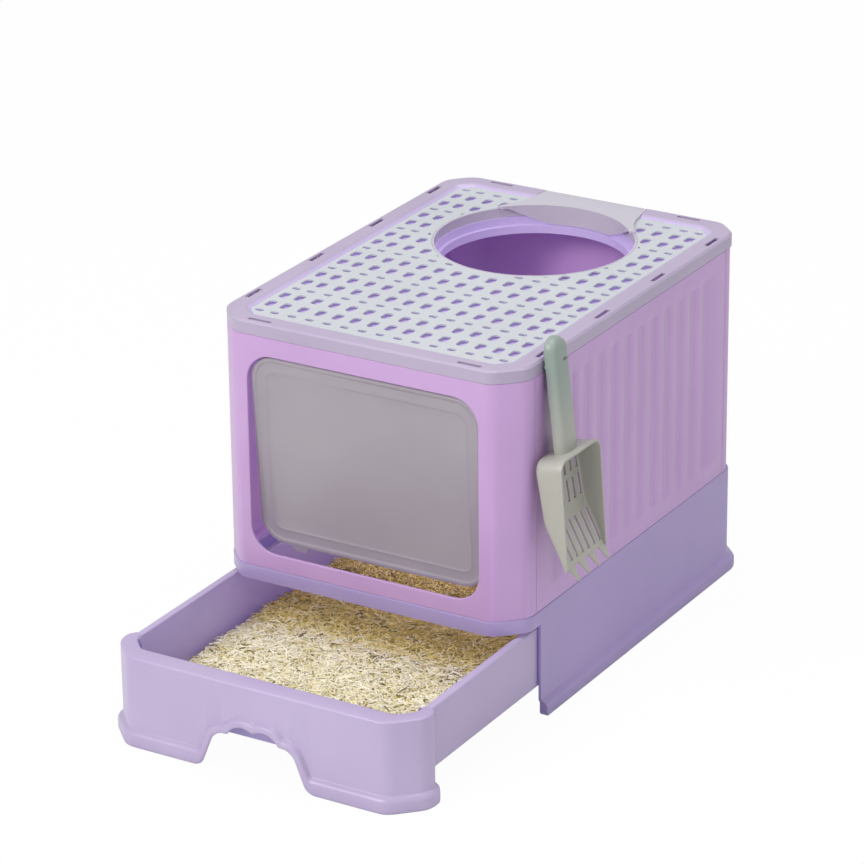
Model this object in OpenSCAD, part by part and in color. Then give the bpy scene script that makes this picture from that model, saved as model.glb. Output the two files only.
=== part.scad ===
// Drawer litter box: a moulded base with a pull-out tray, four clip-together
// panels, a flap door, and a lid with a perforated plate and a round entry.
// The box is drawn with x = 0 on its middle, y = 0 on its front face and z = 0
// on the ground, then moved so that the origin is under the middle of its bounding box.

/* [Body] */
// Width over the side panels
body_w = 355; // [330:1:390]
// Depth from the front panel to the back panel
body_l = 492; // [470:1:530]
// Height of the base, up to the panels
base_h = 118.5; // [112:0.5:130]
// Height of the four panels
panel_h = 256; // [245:1:275]
// Cut across each upright corner at the front
corner_cut = 28; // [26:1:36]
// Cut across each upright corner at the back
back_cut = 24; // [23:1:36]
// Length of the soft blend at each end of a corner cut
corner_blend = 10; // [6:1:10]

/* [Base] */
// Wall of the base
base_wall = 3; // [2.5:0.5:4]
// How far the base stands out past the panels
base_step = 0.6; // [0.2:0.2:1.4]
// Height of the bar over the drawer
bar_h = 15.5; // [12:0.5:18]
// Where the side walls begin, behind the front face
bay_inset = 50; // [46:1:56]
// Where the deck begins, behind the front face
deck_inset = 86; // [70:1:120]
// Height of the deck's top above the ground
deck_z = 26.5; // [22:0.5:27]
// Thickness of the deck
deck_t = 3; // [2.5:0.5:4]
// Width and height of the runners on the deck
runner_w = 6; // [4:1:10]
// Distance of the outer runners from the middle
runner_x = 140; // [110:1:150]
// Height where the skirt leaves the wall
flare_z = 25; // [22:1:28]
// Height of the skirt's crest
crest_z = 14; // [12:1:16]
// How far the skirt's crest stands out
crest_out = 8; // [5:0.5:9]
// How far the skirt stands out at the ground
foot_out = 5; // [1:0.5:6]
// Radius of the skirt's front lower corner
skirt_nose = 6; // [4:1:16]

/* [Drawer] */
// How far the drawer is pulled out
drawer_out = 205; // [150:1:230]
// Height of the drawer's rim
drawer_h = 97.5; // [90:0.5:100]
// Height of the tray's underside above the ground
tray_z = 30; // [30:0.5:34]
// Gap between the tray's side rims and the base's walls
tray_gap = 2.6; // [1.6:0.1:4]
// Wall of the drawer
tray_wall = 3; // [2:0.5:4]
// Width of the side and back rims
side_rim = 8; // [6:0.5:10]
// Width of the front rim
front_rim = 20; // [16:1:24]
// Depth of the rims' turned-down edge
rim_drop = 67; // [60:0.5:67.5]
// Thickness of the rims' turned-down edge
rim_edge = 2; // [1.5:0.5:2.5]
// Clearance behind the closed drawer
drawer_stop_gap = 5; // [3:1:12]
// Gap between the drawer's front and the base's side walls when closed
front_gap = 1; // [0.6:0.2:2]
// Depth of the litter, under its mounds
litter_depth = 9; // [4:1:30]
// Width of the strip on the left where the litter falls to half its depth
litter_fall = 70; // [40:5:100]
// Height of the litter's mounds
mound_h = 3.5; // [2:0.5:5]
// Half-width of a mound
mound_r = 18; // [12:1:20]
// Distance between the mounds
mound_pitch = 44; // [42:1:60]

/* [Handle arch] */
// Half-width of the arch at the ground
arch_foot_x = 66; // [58:1:74]
// Half-width of the arch's shoulders
arch_shoulder_x = 35; // [32:1:40]
// Height of the arch's shoulders
arch_shoulder_z = 42; // [38:1:44]
// Distance of each finger bump from the middle
finger_x = 12.5; // [11:0.5:14]
// Height of the finger bumps
finger_z = 54; // [52:1:58]
// Height of the dip between the finger bumps
dip_z = 50; // [48:1:51]
// Width of the arch's knees, between its shoulders and its feet
arch_knee = 14; // [8:1:16]
// Rounding of the finger bumps
finger_r = 6; // [4:0.5:6]
// Width of the raised lip that follows the arch
arch_lip = 11; // [7:1:12]

/* [Panels] */
// Thickness of the panels
panel_wall = 3; // [2.5:0.5:3.5]
// Width of the panels' turned-in edges
flange_w = 12; // [11:1:14]
// Thickness of the panels' turned-in edges
flange_t = 2.5; // [2:0.5:3.5]
// Where the front and back panels end, round the corners
seam_inset = 42; // [38:1:46]
// Gap in the seams
seam_gap = 0.4; // [0.2:0.1:0.8]
// Distance between the grooves of the side panels
rib_pitch = 28.9; // [24:0.1:34]
// Width of a groove
rib_w = 8; // [5:0.5:12]
// Depth of a groove
rib_depth = 0.9; // [0.5:0.1:1.4]
// Distance of a groove's ends from the panel's lower and upper edges
rib_margin = 20; // [14:1:30]

/* [Clips] */
// Length of a clip tongue
clip_l = 24; // [18:1:26]
// Thickness of a clip tongue
clip_t = 2.4; // [2:0.2:3]
// Height of a clip tongue
clip_h = 9; // [6:0.5:10]
// Clearance round a clip tongue in its slot
clip_gap = 1.2; // [0.8:0.2:1.6]
// Distance of the clips from the body's outer face
clip_inset = 7.5; // [7:0.5:8.5]
// Where the first side clip lies
side_clip_y = 70; // [64:1:76]
// Distance of the last side clip from the back face
side_clip_back = 60.5; // [58:0.5:72]
// Distance of the front clips from the side faces
front_clip_side = 55.5; // [54:0.5:77]
// Distance of the back clips from the side faces
back_clip_side = 62.5; // [56:0.5:77]

/* [Doorway] */
// Width of the doorway
doorway_w = 270; // [240:1:276]
// Height of the doorway
doorway_h = 218; // [200:1:224]
// Height of the sill over the panel's lower edge
sill_h = 17.5; // [14:0.5:22]
// Corner radius of the doorway
doorway_r = 29; // [22:1:36]

/* [Flap door] */
// Gap between the flap and the doorway's sides and top
door_gap = 1.6; // [1.2:0.1:2.5]
// Gap between the flap and the sill
door_sill_gap = 5; // [4:0.5:8]
// Thickness of the flap
door_t = 2; // [1.6:0.2:2.6]
// Width of the flap's rolled edge
door_edge = 5; // [4:0.5:7]
// Height of the flap's rolled edge over the flap
door_edge_t = 1.2; // [0.8:0.2:1.4]
// Angle at which the flap hangs inwards
door_tilt = 4.1; // [3:0.1:5]
// Distance of the flap's top behind the front panel
door_set = 0.4; // [0.3:0.1:1]
// Radius of the hinge pins
pin_r = 2; // [1.5:0.25:2]
// Running clearance of the hinge pins
pin_gap = 0.06; // [0.02:0.01:0.1]
// Distance of the pins' axis behind the front face
pin_y = 12.4; // [12:0.1:14]
// Distance of the pins' axis below the doorway's top
pin_drop = 4; // [3:0.5:5]
// Wall of the bosses round the pins
boss_wall = 2.2; // [1.6:0.2:2.4]
// Width of a boss on the panel
boss_w = 7; // [5:0.5:9]
// Height of the arm that holds a boss on the panel
boss_arm = 12; // [8:1:13]
// Width of a flap's ear
ear_w = 6; // [4:0.5:8]
// How far an ear reaches down the flap, below the pin
ear_drop = 14; // [8:1:20]
// Gap between a flap's ear and the panel's boss
ear_gap = 3; // [1:0.5:4]
// Length of the stop tab on the flap's lower edge
stop_l = 22; // [14:1:30]
// Distance of the stop tab from the middle, on the left
stop_x = 88; // [70:1:95]

/* [Lid] */
// Height of the lid's edge
lid_h = 14.5; // [13.5:0.5:20]
// Wall of the lid
lid_wall = 2.5; // [2:0.5:3]
// Softening of the lid's top edge
lid_bevel = 2.1; // [1:0.1:3]
// Clearance between lift-off pieces
lift_gap = 0.3; // [0.2:0.1:0.5]
// Depth of the tray in the lid, below the lid's top
lid_tray_depth = 7; // [6.5:0.5:9]
// Width of the rim's slope down to the plate
rim_slope = 5; // [3:0.5:7]
// Ledge under the edge of the perforated plate
plate_ledge = 3.4; // [2:0.2:4]

/* [Perforated plate] */
// Distance of the plate from the side faces
plate_side = 24; // [23.5:0.5:32]
// Distance of the plate from the front and back faces
plate_end = 24.5; // [23.5:0.5:31]
// Cut across the plate's corners
plate_cut = 13; // [8:1:20]
// Thickness of the plate
plate_t = 1.8; // [1.6:0.1:2.4]
// How far the plate lies below the lid's top
plate_sink = 3; // [2.5:0.5:3.5]
// Distance between the columns of holes
hole_pitch = 20.8; // [19:0.1:24]
// Distance of each outer column of holes from its neighbour
outer_pitch = 18; // [16:0.5:20]
// Distance between two rows of oval holes
hole_period = 69.3; // [66:0.1:78]
// Distance of each row of long holes from the oval row next to it
long_row = 21.4; // [18:0.1:24]
// Distance of the first row of holes from the plate's front edge
hole_margin = 14.5; // [13:0.5:20]
// Distance of the last row of holes from the plate's back edge
hole_end = 11; // [9:0.5:14]
// Width and length of a long hole
long_hole = [9.5, 16]; // [6:0.5:17]
// Width and length of an oval hole
oval_hole = [10, 6]; // [4:0.5:14]

/* [Entry] */
// Radius of the entry hole in the plate
entry_r = 109; // [95:1:110]
// Distance of the entry's middle from the back face
entry_back = 139; // [138:1:147]
// Wall of the entry ring
ring_wall = 2.2; // [1.6:0.2:3]
// Depth of the entry ring below the plate's top
ring_depth = 10.7; // [9:0.1:12]
// Gap between the ring's deeper rear wall and the collar's step
bib_gap = 1; // [0.5:0.5:3]
// Radius of the round lower edge of that wall, seen from the front
bib_round = 124; // [110:2:140]
// Width of the lid's step under the ring
collar_step = 4; // [3.6:0.2:6]
// Height of the upper part of the collar
collar_upper_h = 9; // [7:0.5:12]
// Height of the whole collar
collar_h = 18; // [16:0.5:26]
// Half-width of the tongue where it leaves the ring
tongue_root_x = 84; // [78:1:88]
// Half-width of the tongue at the lid's back edge
tongue_end_x = 62; // [50:1:72]

/* [Scoop] */
// Distance of the scoop's middle from the front face
scoop_y = 67; // [64:1:74]
// How far the handle stands over the lid
handle_over = 19; // [15:1:22]
// Width of the handle
handle_w = 30; // [26:1:32]
// Thickness of the handle
handle_d = 12.5; // [12:0.5:14]
// Length of the handle
handle_l = 123; // [117:1:128]
// Wall of the handle
handle_wall = 2.2; // [1.6:0.2:3]
// How far the handle leans away from the box, from its top to its foot
handle_lean = 6.5; // [5.5:0.5:8]
// Width of the bowl
bowl_w = 82; // [70:1:90]
// Depth of the bowl at its top
bowl_d = 31; // [28:1:40]
// Height of the bowl, without its teeth
bowl_h = 111; // [104:1:120]
// Wall of the bowl
bowl_wall = 2.2; // [1.6:0.2:3]
// Distance of the bowl's back from the side panel
bowl_gap = 5; // [4:0.5:8]
// Length of the bowl's steep upper back
bowl_back_h = 64; // [56:1:70]
// How far the steep back leans out
bowl_back_out = 11; // [8:1:14]
// How far the lower floor reaches out below the steep back
bowl_floor_out = 24; // [22:1:32]
// Radius of the bowl's upper corners
bowl_r = 12; // [8:1:16]
// Number of slots across the bowl
slot_count = 7; // [5:1:9]
// Width of a slot
slot_w = 4.4; // [3:0.2:5]
// Length of the teeth
tooth_l = 16; // [8:1:18]
// Number of teeth
tooth_count = 4; // [3:1:6]

/* [Scoop hook] */
// Thickness of the hook
hook_t = 2; // [1.6:0.2:2.4]
// Width of the hook
hook_w = 9; // [7:1:12]
// Room in the hook for the handle's bar
hook_room = 4; // [3.6:0.2:5]
// Height of the hook's turned-up tip
hook_tip = 7; // [5:0.5:8]

/* [Hidden] */

lavender = "#b7a6cf";
lilac = "#c3a3d6";
lid_lilac = "#c4b1d3";
plate_white = "#e6eae9";
smoke = "#99929a";
scoop_grey = "#9dab9f";
litter_tan = "#c9bd8c";

eps = 0.01;
big = 1000;
arc_steps = 4;             // points along one blended corner
cut_gain = 2 - sqrt(2);    // growth of a corner cut when its outline grows by 1

// Heights
lid_z = base_h + panel_h;
lid_top = lid_z + lid_h;
bar_z = base_h - bar_h;
sill_z = base_h + sill_h;
doorway_top = sill_z + doorway_h;
plate_top = lid_top - plate_sink;
plate_z = plate_top - plate_t;
lid_floor = lid_top - lid_tray_depth;
tongue_z = plate_top + lift_gap;

// Scoop seen from the side, as [distance from the side panel, height]
scoop_top = lid_top + handle_over;
bowl_top = scoop_top - handle_l + 4;
bowl_a = [bowl_gap, bowl_top - 2];
bowl_rim = [bowl_gap + bowl_d, bowl_top + 5];
bowl_b = bowl_a + [bowl_back_out, -bowl_back_h];
bowl_c = [bowl_b.x + bowl_floor_out, bowl_top - bowl_h];
tooth_tip = bowl_c + tooth_l * (bowl_c - bowl_b) / norm(bowl_c - bowl_b);

// Bounding box, which the origin sits under
box_left = body_w / 2 + base_step + crest_out;
box_right = body_w / 2 + tooth_tip.x + bowl_wall;
box_front = -drawer_out - crest_out;
box_back = body_l + base_step + crest_out;
origin_x = (box_right - box_left) / 2;
origin_y = (box_front + box_back) / 2;
module at_origin() translate([-origin_x, -origin_y, 0]) children();

// ---- Shared outlines ----

function unit(v) = v / norm(v);

// Curve round corner p, from a towards b, starting t before p
function blend(a, p, b, t) =
    let (u = p + t * unit(a - p), w = p + t * unit(b - p))
    [for (i = [0:arc_steps])
        let (s = i / arc_steps)
        (1 - s) * (1 - s) * u + 2 * s * (1 - s) * p + s * s * w];

// Outline with blended corners; t is one blend length, or a list with one for each point,
// where 0 leaves the corner sharp
function softened(pts, t) =
    let (m = len(pts))
    [for (i = [0:m - 1])
        let (size = is_list(t) ? t[i] : t)
        each size == 0 ? [pts[i]] : blend(pts[(i + m - 1) % m], pts[i], pts[(i + 1) % m], size)];

// Rectangle with cuts c at its front corners and b at its back ones, its front edge on y = 0
function cut_rect(w, l, c, b) =
    [[-w / 2 + c, 0], [w / 2 - c, 0], [w / 2, c], [w / 2, l - b],
     [w / 2 - b, l], [-w / 2 + b, l], [-w / 2, l - b], [-w / 2, c]];

// Outline of the body, grown by out
module plan(out = 0)
    translate([0, -out])
        polygon(softened(cut_rect(body_w + 2 * out, body_l + 2 * out,
            corner_cut + out * cut_gain, back_cut + out * cut_gain), corner_blend));

// Prism of the body's outline between two heights
module block(z0, z1, out = 0)
    translate([0, 0, z0]) linear_extrude(z1 - z0) plan(out);

// Band between two body outlines
module band(z0, z1, out, in)
    difference() {
        block(z0, z1, out);
        block(z0 - 1, z1 + 1, in);
    }

// Rectangle with round corners, centred on x, its lower edge on y = 0
module round_rect(w, h, r)
    union() {
        translate([-w / 2 + r, 0]) square([w - 2 * r, h]);
        translate([-w / 2, r]) square([w, h - 2 * r]);
        for (x = [-1, 1], y = [r, h - r])
            translate([x * (w / 2 - r), y]) circle(r, $fn = 64);
    }

// Turns a drawing in (x, z) into an upright slab from y0 to y1
module upright(y0, y1)
    translate([0, y1, 0]) rotate([90, 0, 0]) linear_extrude(y1 - y0) children();

// Turns a drawing in (y, z) into a slab across the whole width
module crossways(w)
    translate([-w / 2, 0, 0]) rotate([90, 0, 90]) linear_extrude(w) children();

// ---- Clips that join the panels to the base and the lid ----

side_clips = 4;                                           // on each side
side_clip_pitch = (body_l - side_clip_y - side_clip_back) / (side_clips - 1);
front_clip_x = body_w / 2 - front_clip_side;
back_clip_x = body_w / 2 - back_clip_side;

// One box at each clip place; grow is the clearance round the tongue
module clip_boxes(z0, z1, grow, front = false, back = false, left = false, right = false) {
    run = clip_l + 2 * grow;
    thick = clip_t + 2 * grow;
    for (i = [0:side_clips - 1], side = [-1, 1])
        if (side < 0 ? left : right)
            translate([side * (body_w / 2 - clip_inset) - thick / 2,
                side_clip_y + i * side_clip_pitch - run / 2, z0])
                cube([thick, run, z1 - z0]);
    for (side = [-1, 1]) {
        if (front)
            translate([side * front_clip_x - run / 2, clip_inset - thick / 2, z0])
                cube([run, thick, z1 - z0]);
        if (back)
            translate([side * back_clip_x - run / 2, body_l - clip_inset - thick / 2, z0])
                cube([run, thick, z1 - z0]);
    }
}

module all_clip_slots(z0, z1)
    clip_boxes(z0, z1, clip_gap, front = true, back = true, left = true, right = true);

// ---- Skirt that the base and the drawer's front share ----

ledge_w = flange_w + 2;    // width of the base's top ledge

// One layer of the skirt, between two heights and the two outlines there
module skirt_layer(z0, out0, z1, out1)
    hull() {
        translate([0, 0, z0]) linear_extrude(eps) plan(out0);
        translate([0, 0, z1 - eps]) linear_extrude(eps) plan(out1);
    }

// Solid with the skirt's outer shape, on a wall that stands out by step
module skirt_solid(step) {
    mid_z = (flare_z + crest_z) / 2;
    mid_out = step + crest_out * 0.4;
    low_z = crest_z * 0.45;
    low_out = step + crest_out * 0.9;
    skirt_layer(mid_z, mid_out, flare_z, step);
    skirt_layer(crest_z, step + crest_out, mid_z, mid_out);
    skirt_layer(low_z, low_out, crest_z, step + crest_out);
    skirt_layer(0, step + foot_out, low_z, low_out);
}

// ---- Base ----

// Side view of the base: open under the bar, round at the skirt's front
module base_profile() {
    nose = [for (i = [0:arc_steps]) let (a = 90 * i / arc_steps)
        [bay_inset + skirt_nose * (1 - cos(a)), skirt_nose * (1 - sin(a))]];
    polygon(concat([[-crest_out * 2, base_h], [-crest_out * 2, bar_z], [bay_inset, bar_z]],
        nose, [[body_l + crest_out * 2, 0], [body_l + crest_out * 2, base_h]]));
}

module base_shell() color(lavender) at_origin() {
    inside = base_step - base_wall;
    difference() {
        intersection() {
            union() {
                block(0, base_h, base_step);
                skirt_solid(base_step);
            }
            crossways(body_w + 6 * crest_out) base_profile();
        }
        block(-1, deck_z - deck_t, inside);
        block(deck_z, base_h - flange_t, inside);
        block(base_h - flange_t - 1, base_h + 1, -ledge_w);
        translate([-big / 2, -1, -1])
            intersection() {
                cube([big, deck_inset + 1, deck_z + 2]);
                translate([big / 2, 1, 0]) block(-1, deck_z + 3, inside);
            }
        all_clip_slots(base_h - flange_t - 1, base_h + 1);
    }
    for (x = [-runner_x, 0, runner_x])
        translate([x - runner_w / 2, deck_inset + runner_w, deck_z - eps])
            cube([runner_w, body_l - deck_inset - base_wall - 2 * runner_w,
                tray_z - lift_gap - deck_z + eps]);
}

// ---- Drawer ----

bay_wall = base_wall - base_step;                // base's inner face, from the body's outline
drawer_y = -drawer_out;                          // front face
tray_w = body_w - 2 * (bay_wall + tray_gap);
tray_back = drawer_y + body_l - bay_wall - drawer_stop_gap;
front_end = drawer_y + bay_inset - front_gap;    // end of the wrapped front
tray_front_cut = corner_cut - front_rim * cut_gain;
// The back corners clear the base's inner corners by the same gap as the sides
tray_back_cut = back_cut - bay_wall * cut_gain - drawer_stop_gap + (sqrt(2) - 1) * tray_gap;

// Outline of the tray, with its front and side edges moved inwards
module tray_plan(front_in, side_in)
    translate([0, drawer_y + front_in])
        polygon(softened(cut_rect(tray_w - 2 * side_in,
            tray_back - drawer_y - front_in - side_in, tray_front_cut, tray_back_cut), corner_blend / 2));

// Half of the arch's edge from below the ground to the middle, grown by grow, as [x, z, blend]
function half_arch(grow) =
    let (foot = arch_foot_x + grow, knee = arch_shoulder_x + grow + arch_knee,
        shoulder_z = arch_shoulder_z + grow, top_z = finger_z + grow)
    [[foot + 1, -2, 0], [knee, shoulder_z, arch_knee],
     [arch_shoulder_x - finger_r, shoulder_z, finger_r / 2],
     [finger_x + finger_r, top_z, finger_r], [finger_x - finger_r, top_z, finger_r / 2]];

module arch(grow = 0) {
    half = half_arch(grow);
    last = len(half) - 1;
    points = concat(half, [[0, dip_z + grow, finger_r / 2]],
        [for (i = [0:last]) let (p = half[last - i]) [-p.x, p.y, p.z]]);
    polygon(softened([for (p = points) [p.x, p.y]], [for (p = points) p.z]));
}

// The tray's outline between two heights
module tray_block(z0, z1, front_in, side_in)
    translate([0, 0, z0]) linear_extrude(z1 - z0) tray_plan(front_in, side_in);

// Front that wraps round both corners, with its skirt and the lip over the arch
module drawer_front()
    difference() {
        intersection() {
            translate([0, drawer_y, 0]) {
                block(0, drawer_h, 0);
                skirt_solid(0);
                intersection() {
                    block(0, finger_z + 2 * arch_lip, crest_out);
                    upright(-crest_out - 1, corner_cut) arch(arch_lip);
                }
            }
            translate([-big / 2, drawer_y - big, -1]) cube([big, front_end - drawer_y + big, big]);
        }
        translate([0, drawer_y, 0]) block(-1, drawer_h - tray_wall, -tray_wall);
        upright(drawer_y - crest_out - 2, drawer_y + front_rim - tray_wall - 1) arch();
    }

module drawer_tray() color(lavender) at_origin() {
    front_in = front_rim - tray_wall;
    difference() {
        union() {
            drawer_front();
            tray_block(tray_z, drawer_h, front_in, side_rim - tray_wall);
            tray_block(drawer_h - tray_wall, drawer_h, front_in, 0);
            difference() {
                tray_block(drawer_h - rim_drop, drawer_h - eps, front_in, 0);
                tray_block(0, drawer_h - tray_wall, front_in - 1, rim_edge);
            }
        }
        tray_block(tray_z + tray_wall, drawer_h + 1, front_rim, side_rim);
    }
}

// Height of the litter's surface between the mounds, over the tray's floor
function litter_level(x) =
    litter_depth * (0.5 + 0.5 * min(1, (x + litter_half) / litter_fall));

// Mound with its middle on the origin: a cap of a large sphere, which goes on below the surface
module mound() {
    root = mound_h * 0.4;
    ball_r = (pow(mound_r, 2) + pow(mound_h, 2)) / (2 * mound_h);
    intersection() {
        translate([0, 0, mound_h - ball_r]) sphere(ball_r);
        translate([0, 0, -root]) cylinder(h = mound_h + 2 * root, r = mound_pitch / 2);
    }
}

litter_half = tray_w / 2 - side_rim;
litter_front = drawer_y + front_rim;
litter_back = tray_back - side_rim;

// Loose bed with staggered rows of low mounds, within the tray's walls
module litter_bed() color(litter_tan) at_origin() {
    bed_z = tray_z + tray_wall;
    columns = floor(litter_half / mound_pitch);
    rows = floor((litter_back - litter_front - 2 * mound_r) / mound_pitch);
    intersection() {
        tray_block(bed_z, drawer_h, front_rim, side_rim);
        union() {
            translate([0, litter_back, bed_z]) rotate([90, 0, 0])
                linear_extrude(litter_back - litter_front)
                    polygon([[-litter_half, 0], [litter_half, 0], [litter_half, litter_depth],
                        [litter_fall - litter_half, litter_depth], [-litter_half, litter_depth / 2]]);
            for (row = [0:rows], column = [-columns:columns - row % 2]) {
                x = (column + row % 2 / 2) * mound_pitch;
                y = litter_front + mound_r + row * mound_pitch;
                translate([x, y, bed_z + litter_level(x)]) mound();
            }
        }
    }
}

// ---- Panels ----

// Keeps the part of the panels between two depths, on one side of the middle or on both
module slice(y0, y1, side = 0)
    intersection() {
        children();
        translate([side > 0 ? 0 : -big / 2, y0, 0])
            cube([side == 0 ? big : big / 2, y1 - y0, big]);
    }

// Channel-shaped panels all round: a skin with turned-in lower and upper edges
module panel_ring() {
    band(base_h, lid_z, 0, -panel_wall);
    band(base_h, base_h + flange_t, 0, -flange_w);
    band(lid_z - flange_t, lid_z, 0, -flange_w);
}

// Turned-in upright edge along a seam, from y0 to y1
module seam_edge(y0, y1, side)
    slice(y0, y1, side) band(base_h, lid_z, 0, -flange_w);

module clip_tongues(front = false, back = false, left = false, right = false) {
    clip_boxes(base_h - clip_h, base_h + flange_t, 0, front, back, left, right);
    clip_boxes(lid_z - flange_t, lid_z + clip_h, 0, front, back, left, right);
}

module doorway_shape(grow = 0)
    translate([0, sill_z - grow])
        round_rect(doorway_w + 2 * grow, doorway_h + 2 * grow, doorway_r + grow);

front_seam = seam_inset - seam_gap / 2;
back_seam = body_l - front_seam;

pin_z = doorway_top - pin_drop;
boss_r = pin_r + boss_wall;                // outside of the bosses and the ears
hinge_x = doorway_w / 2 - doorway_r + 14;  // inner face of the panel's bosses
arm_z = doorway_top + 1;                   // underside of the bosses' arms

// Cylinder on the pins' axis, from x0 to x1
module pin_cylinder(x0, x1, r)
    translate([x0, pin_y, pin_z]) rotate([0, 90, 0]) cylinder(h = x1 - x0, r = r, $fn = 48);

// Boss that holds one hinge pin, on its arm over the doorway
module hinge_boss(side)
    translate([side > 0 ? hinge_x : -hinge_x - boss_w, 0, 0])
        difference() {
            union() {
                translate([0, panel_wall - eps, arm_z])
                    cube([boss_w, pin_y + boss_r - panel_wall + eps, boss_arm]);
                translate([0, pin_y - boss_r, pin_z]) cube([boss_w, 2 * boss_r, arm_z - pin_z + eps]);
                pin_cylinder(0, boss_w, boss_r);
            }
            pin_cylinder(-1, boss_w + 1, pin_r + pin_gap);
        }

module front_panel() color(lilac) at_origin() {
    difference() {
        union() {
            slice(-1, front_seam) panel_ring();
            for (side = [-1, 1]) seam_edge(front_seam - flange_t, front_seam, side);
        }
        upright(-1, panel_wall + 1) doorway_shape();
    }
    clip_tongues(front = true);
    for (side = [-1, 1]) hinge_boss(side);
}

module back_panel() color(lilac) at_origin() {
    slice(back_seam, body_l + 1) panel_ring();
    for (side = [-1, 1]) seam_edge(back_seam, back_seam + flange_t, side);
    clip_tongues(back = true);
}

// Grooves of one side panel, centred between the seams
module grooves(side) {
    run = body_l - 2 * seam_inset;
    count = floor((run - rib_pitch) / rib_pitch);
    for (i = [0:count - 1])
        translate([side * (body_w / 2 + rib_w / 2 - rib_depth),
            body_l / 2 + (i - (count - 1) / 2) * rib_pitch, base_h + rib_margin + rib_w / 2])
            translate([-rib_w / 2, -rib_w / 2, 0]) cube([rib_w, rib_w, panel_h - 2 * rib_margin - rib_w]);
}

module side_panel(side) {
    difference() {
        slice(front_seam + seam_gap, back_seam - seam_gap, side) panel_ring();
        grooves(side);
    }
    seam_edge(front_seam + seam_gap, front_seam + seam_gap + flange_t, side);
    seam_edge(back_seam - seam_gap - flange_t, back_seam - seam_gap, side);
    clip_tongues(left = side < 0, right = side > 0);
}

module left_panel() color(lilac) at_origin() side_panel(-1);
module right_panel() color(lilac) at_origin() side_panel(1);

// ---- Flap door ----

door_w = doorway_w - 2 * door_gap;
door_h = doorway_h - door_gap - door_sill_gap;
door_r = doorway_r - door_gap;
stop_drop = door_sill_gap + 1.5;           // the stop tab reaches below the sill's edge
ear_x = hinge_x - ear_gap - ear_w;         // inner face of the flap's ears
stop_slope = 4;                            // sideways run of the stop tab's slanted ends

// Moves the flap, drawn upright with its front face on y = 0, into its hanging place
module hung()
    translate([0, panel_wall + door_set, doorway_top - door_gap]) rotate([door_tilt, 0, 0])
        translate([0, 0, -door_h]) children();

module front_door() color(smoke) at_origin() {
    back_face = door_edge_t + door_t;
    difference() {
        union() {
            hung() {
                upright(door_edge_t, back_face) round_rect(door_w, door_h, door_r);
                upright(0, back_face) difference() {
                    round_rect(door_w, door_h, door_r);
                    translate([0, door_edge])
                        round_rect(door_w - 2 * door_edge, door_h - 2 * door_edge, door_r - door_edge);
                }
                upright(door_edge_t, back_face) translate([-stop_x, 0])
                    polygon([[-stop_l / 2, eps], [-stop_l / 2 + stop_slope, -stop_drop],
                        [stop_l / 2 - stop_slope, -stop_drop], [stop_l / 2, eps]]);
            }
            for (side = [-1, 1])
                translate([side > 0 ? ear_x : -ear_x - ear_w, 0, 0]) {
                    pin_cylinder(0, ear_w, boss_r);
                    rotate([90, 0, 90]) linear_extrude(ear_w) polygon([
                        [panel_wall + back_face, pin_z + 1], [pin_y, pin_z + boss_r],
                        [pin_y, pin_z - boss_r], [panel_wall + back_face, pin_z - ear_drop]]);
                }
        }
        for (side = [-1, 1]) translate([side * hinge_x, 0, 0]) pin_cylinder(-big / 2, big / 2, pin_r);
    }
}

module door_pins() color(smoke) at_origin() {
    pin_l = boss_w + ear_gap + ear_w + 1;
    for (side = [-1, 1])
        translate([side > 0 ? ear_x : -ear_x - pin_l, 0, 0]) pin_cylinder(0, pin_l, pin_r);
}

// ---- Lid ----

plate_w = body_w - 2 * plate_side;
plate_l = body_l - 2 * plate_end;
entry_y = body_l - entry_back;
edge_gap = 0.4;            // round the plate and the entry ring in the lid
plate_blend = 4;           // soft corners of the plate

// Outline of the plate, grown by out
module plate_plan(out = 0) {
    cut = plate_cut + out * cut_gain;
    translate([0, plate_end - out])
        polygon(softened(cut_rect(plate_w + 2 * out, plate_l + 2 * out, cut, cut), plate_blend));
}

ring_seat = plate_top - ring_depth - lift_gap;  // lid's step under the ring
ring_out = entry_r - lift_gap;
collar_r = ring_out - ring_wall - 1.4;          // inside of the collar's upper part
collar_low_r = collar_r - collar_step;
collar_wall = 2.4;

// Half of the tongue's outline in plan, from its root inside the ring's wall to the back edge
tongue_back = body_l - lid_bevel;
function tongue_half(grow) =
    [[tongue_root_x + grow, entry_y + sqrt(pow(ring_out - ring_wall / 2, 2) - pow(tongue_root_x, 2))],
     [(tongue_root_x + tongue_end_x) / 2 - 5 + grow, body_l - 45],
     [tongue_end_x + grow, tongue_back + grow]];

module tongue_plan(grow = 0) {
    half = tongue_half(grow);
    waist = tongue_root_x / 6;
    polygon(softened(concat(half, [for (i = [2:-1:0]) [-half[i].x, half[i].y]]),
        [0, waist, 0, 0, waist, 0]));
}

module entry_cylinder(z0, z1, r)
    translate([0, entry_y, z0]) cylinder(h = z1 - z0, r = r, $fn = 160);

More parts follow.
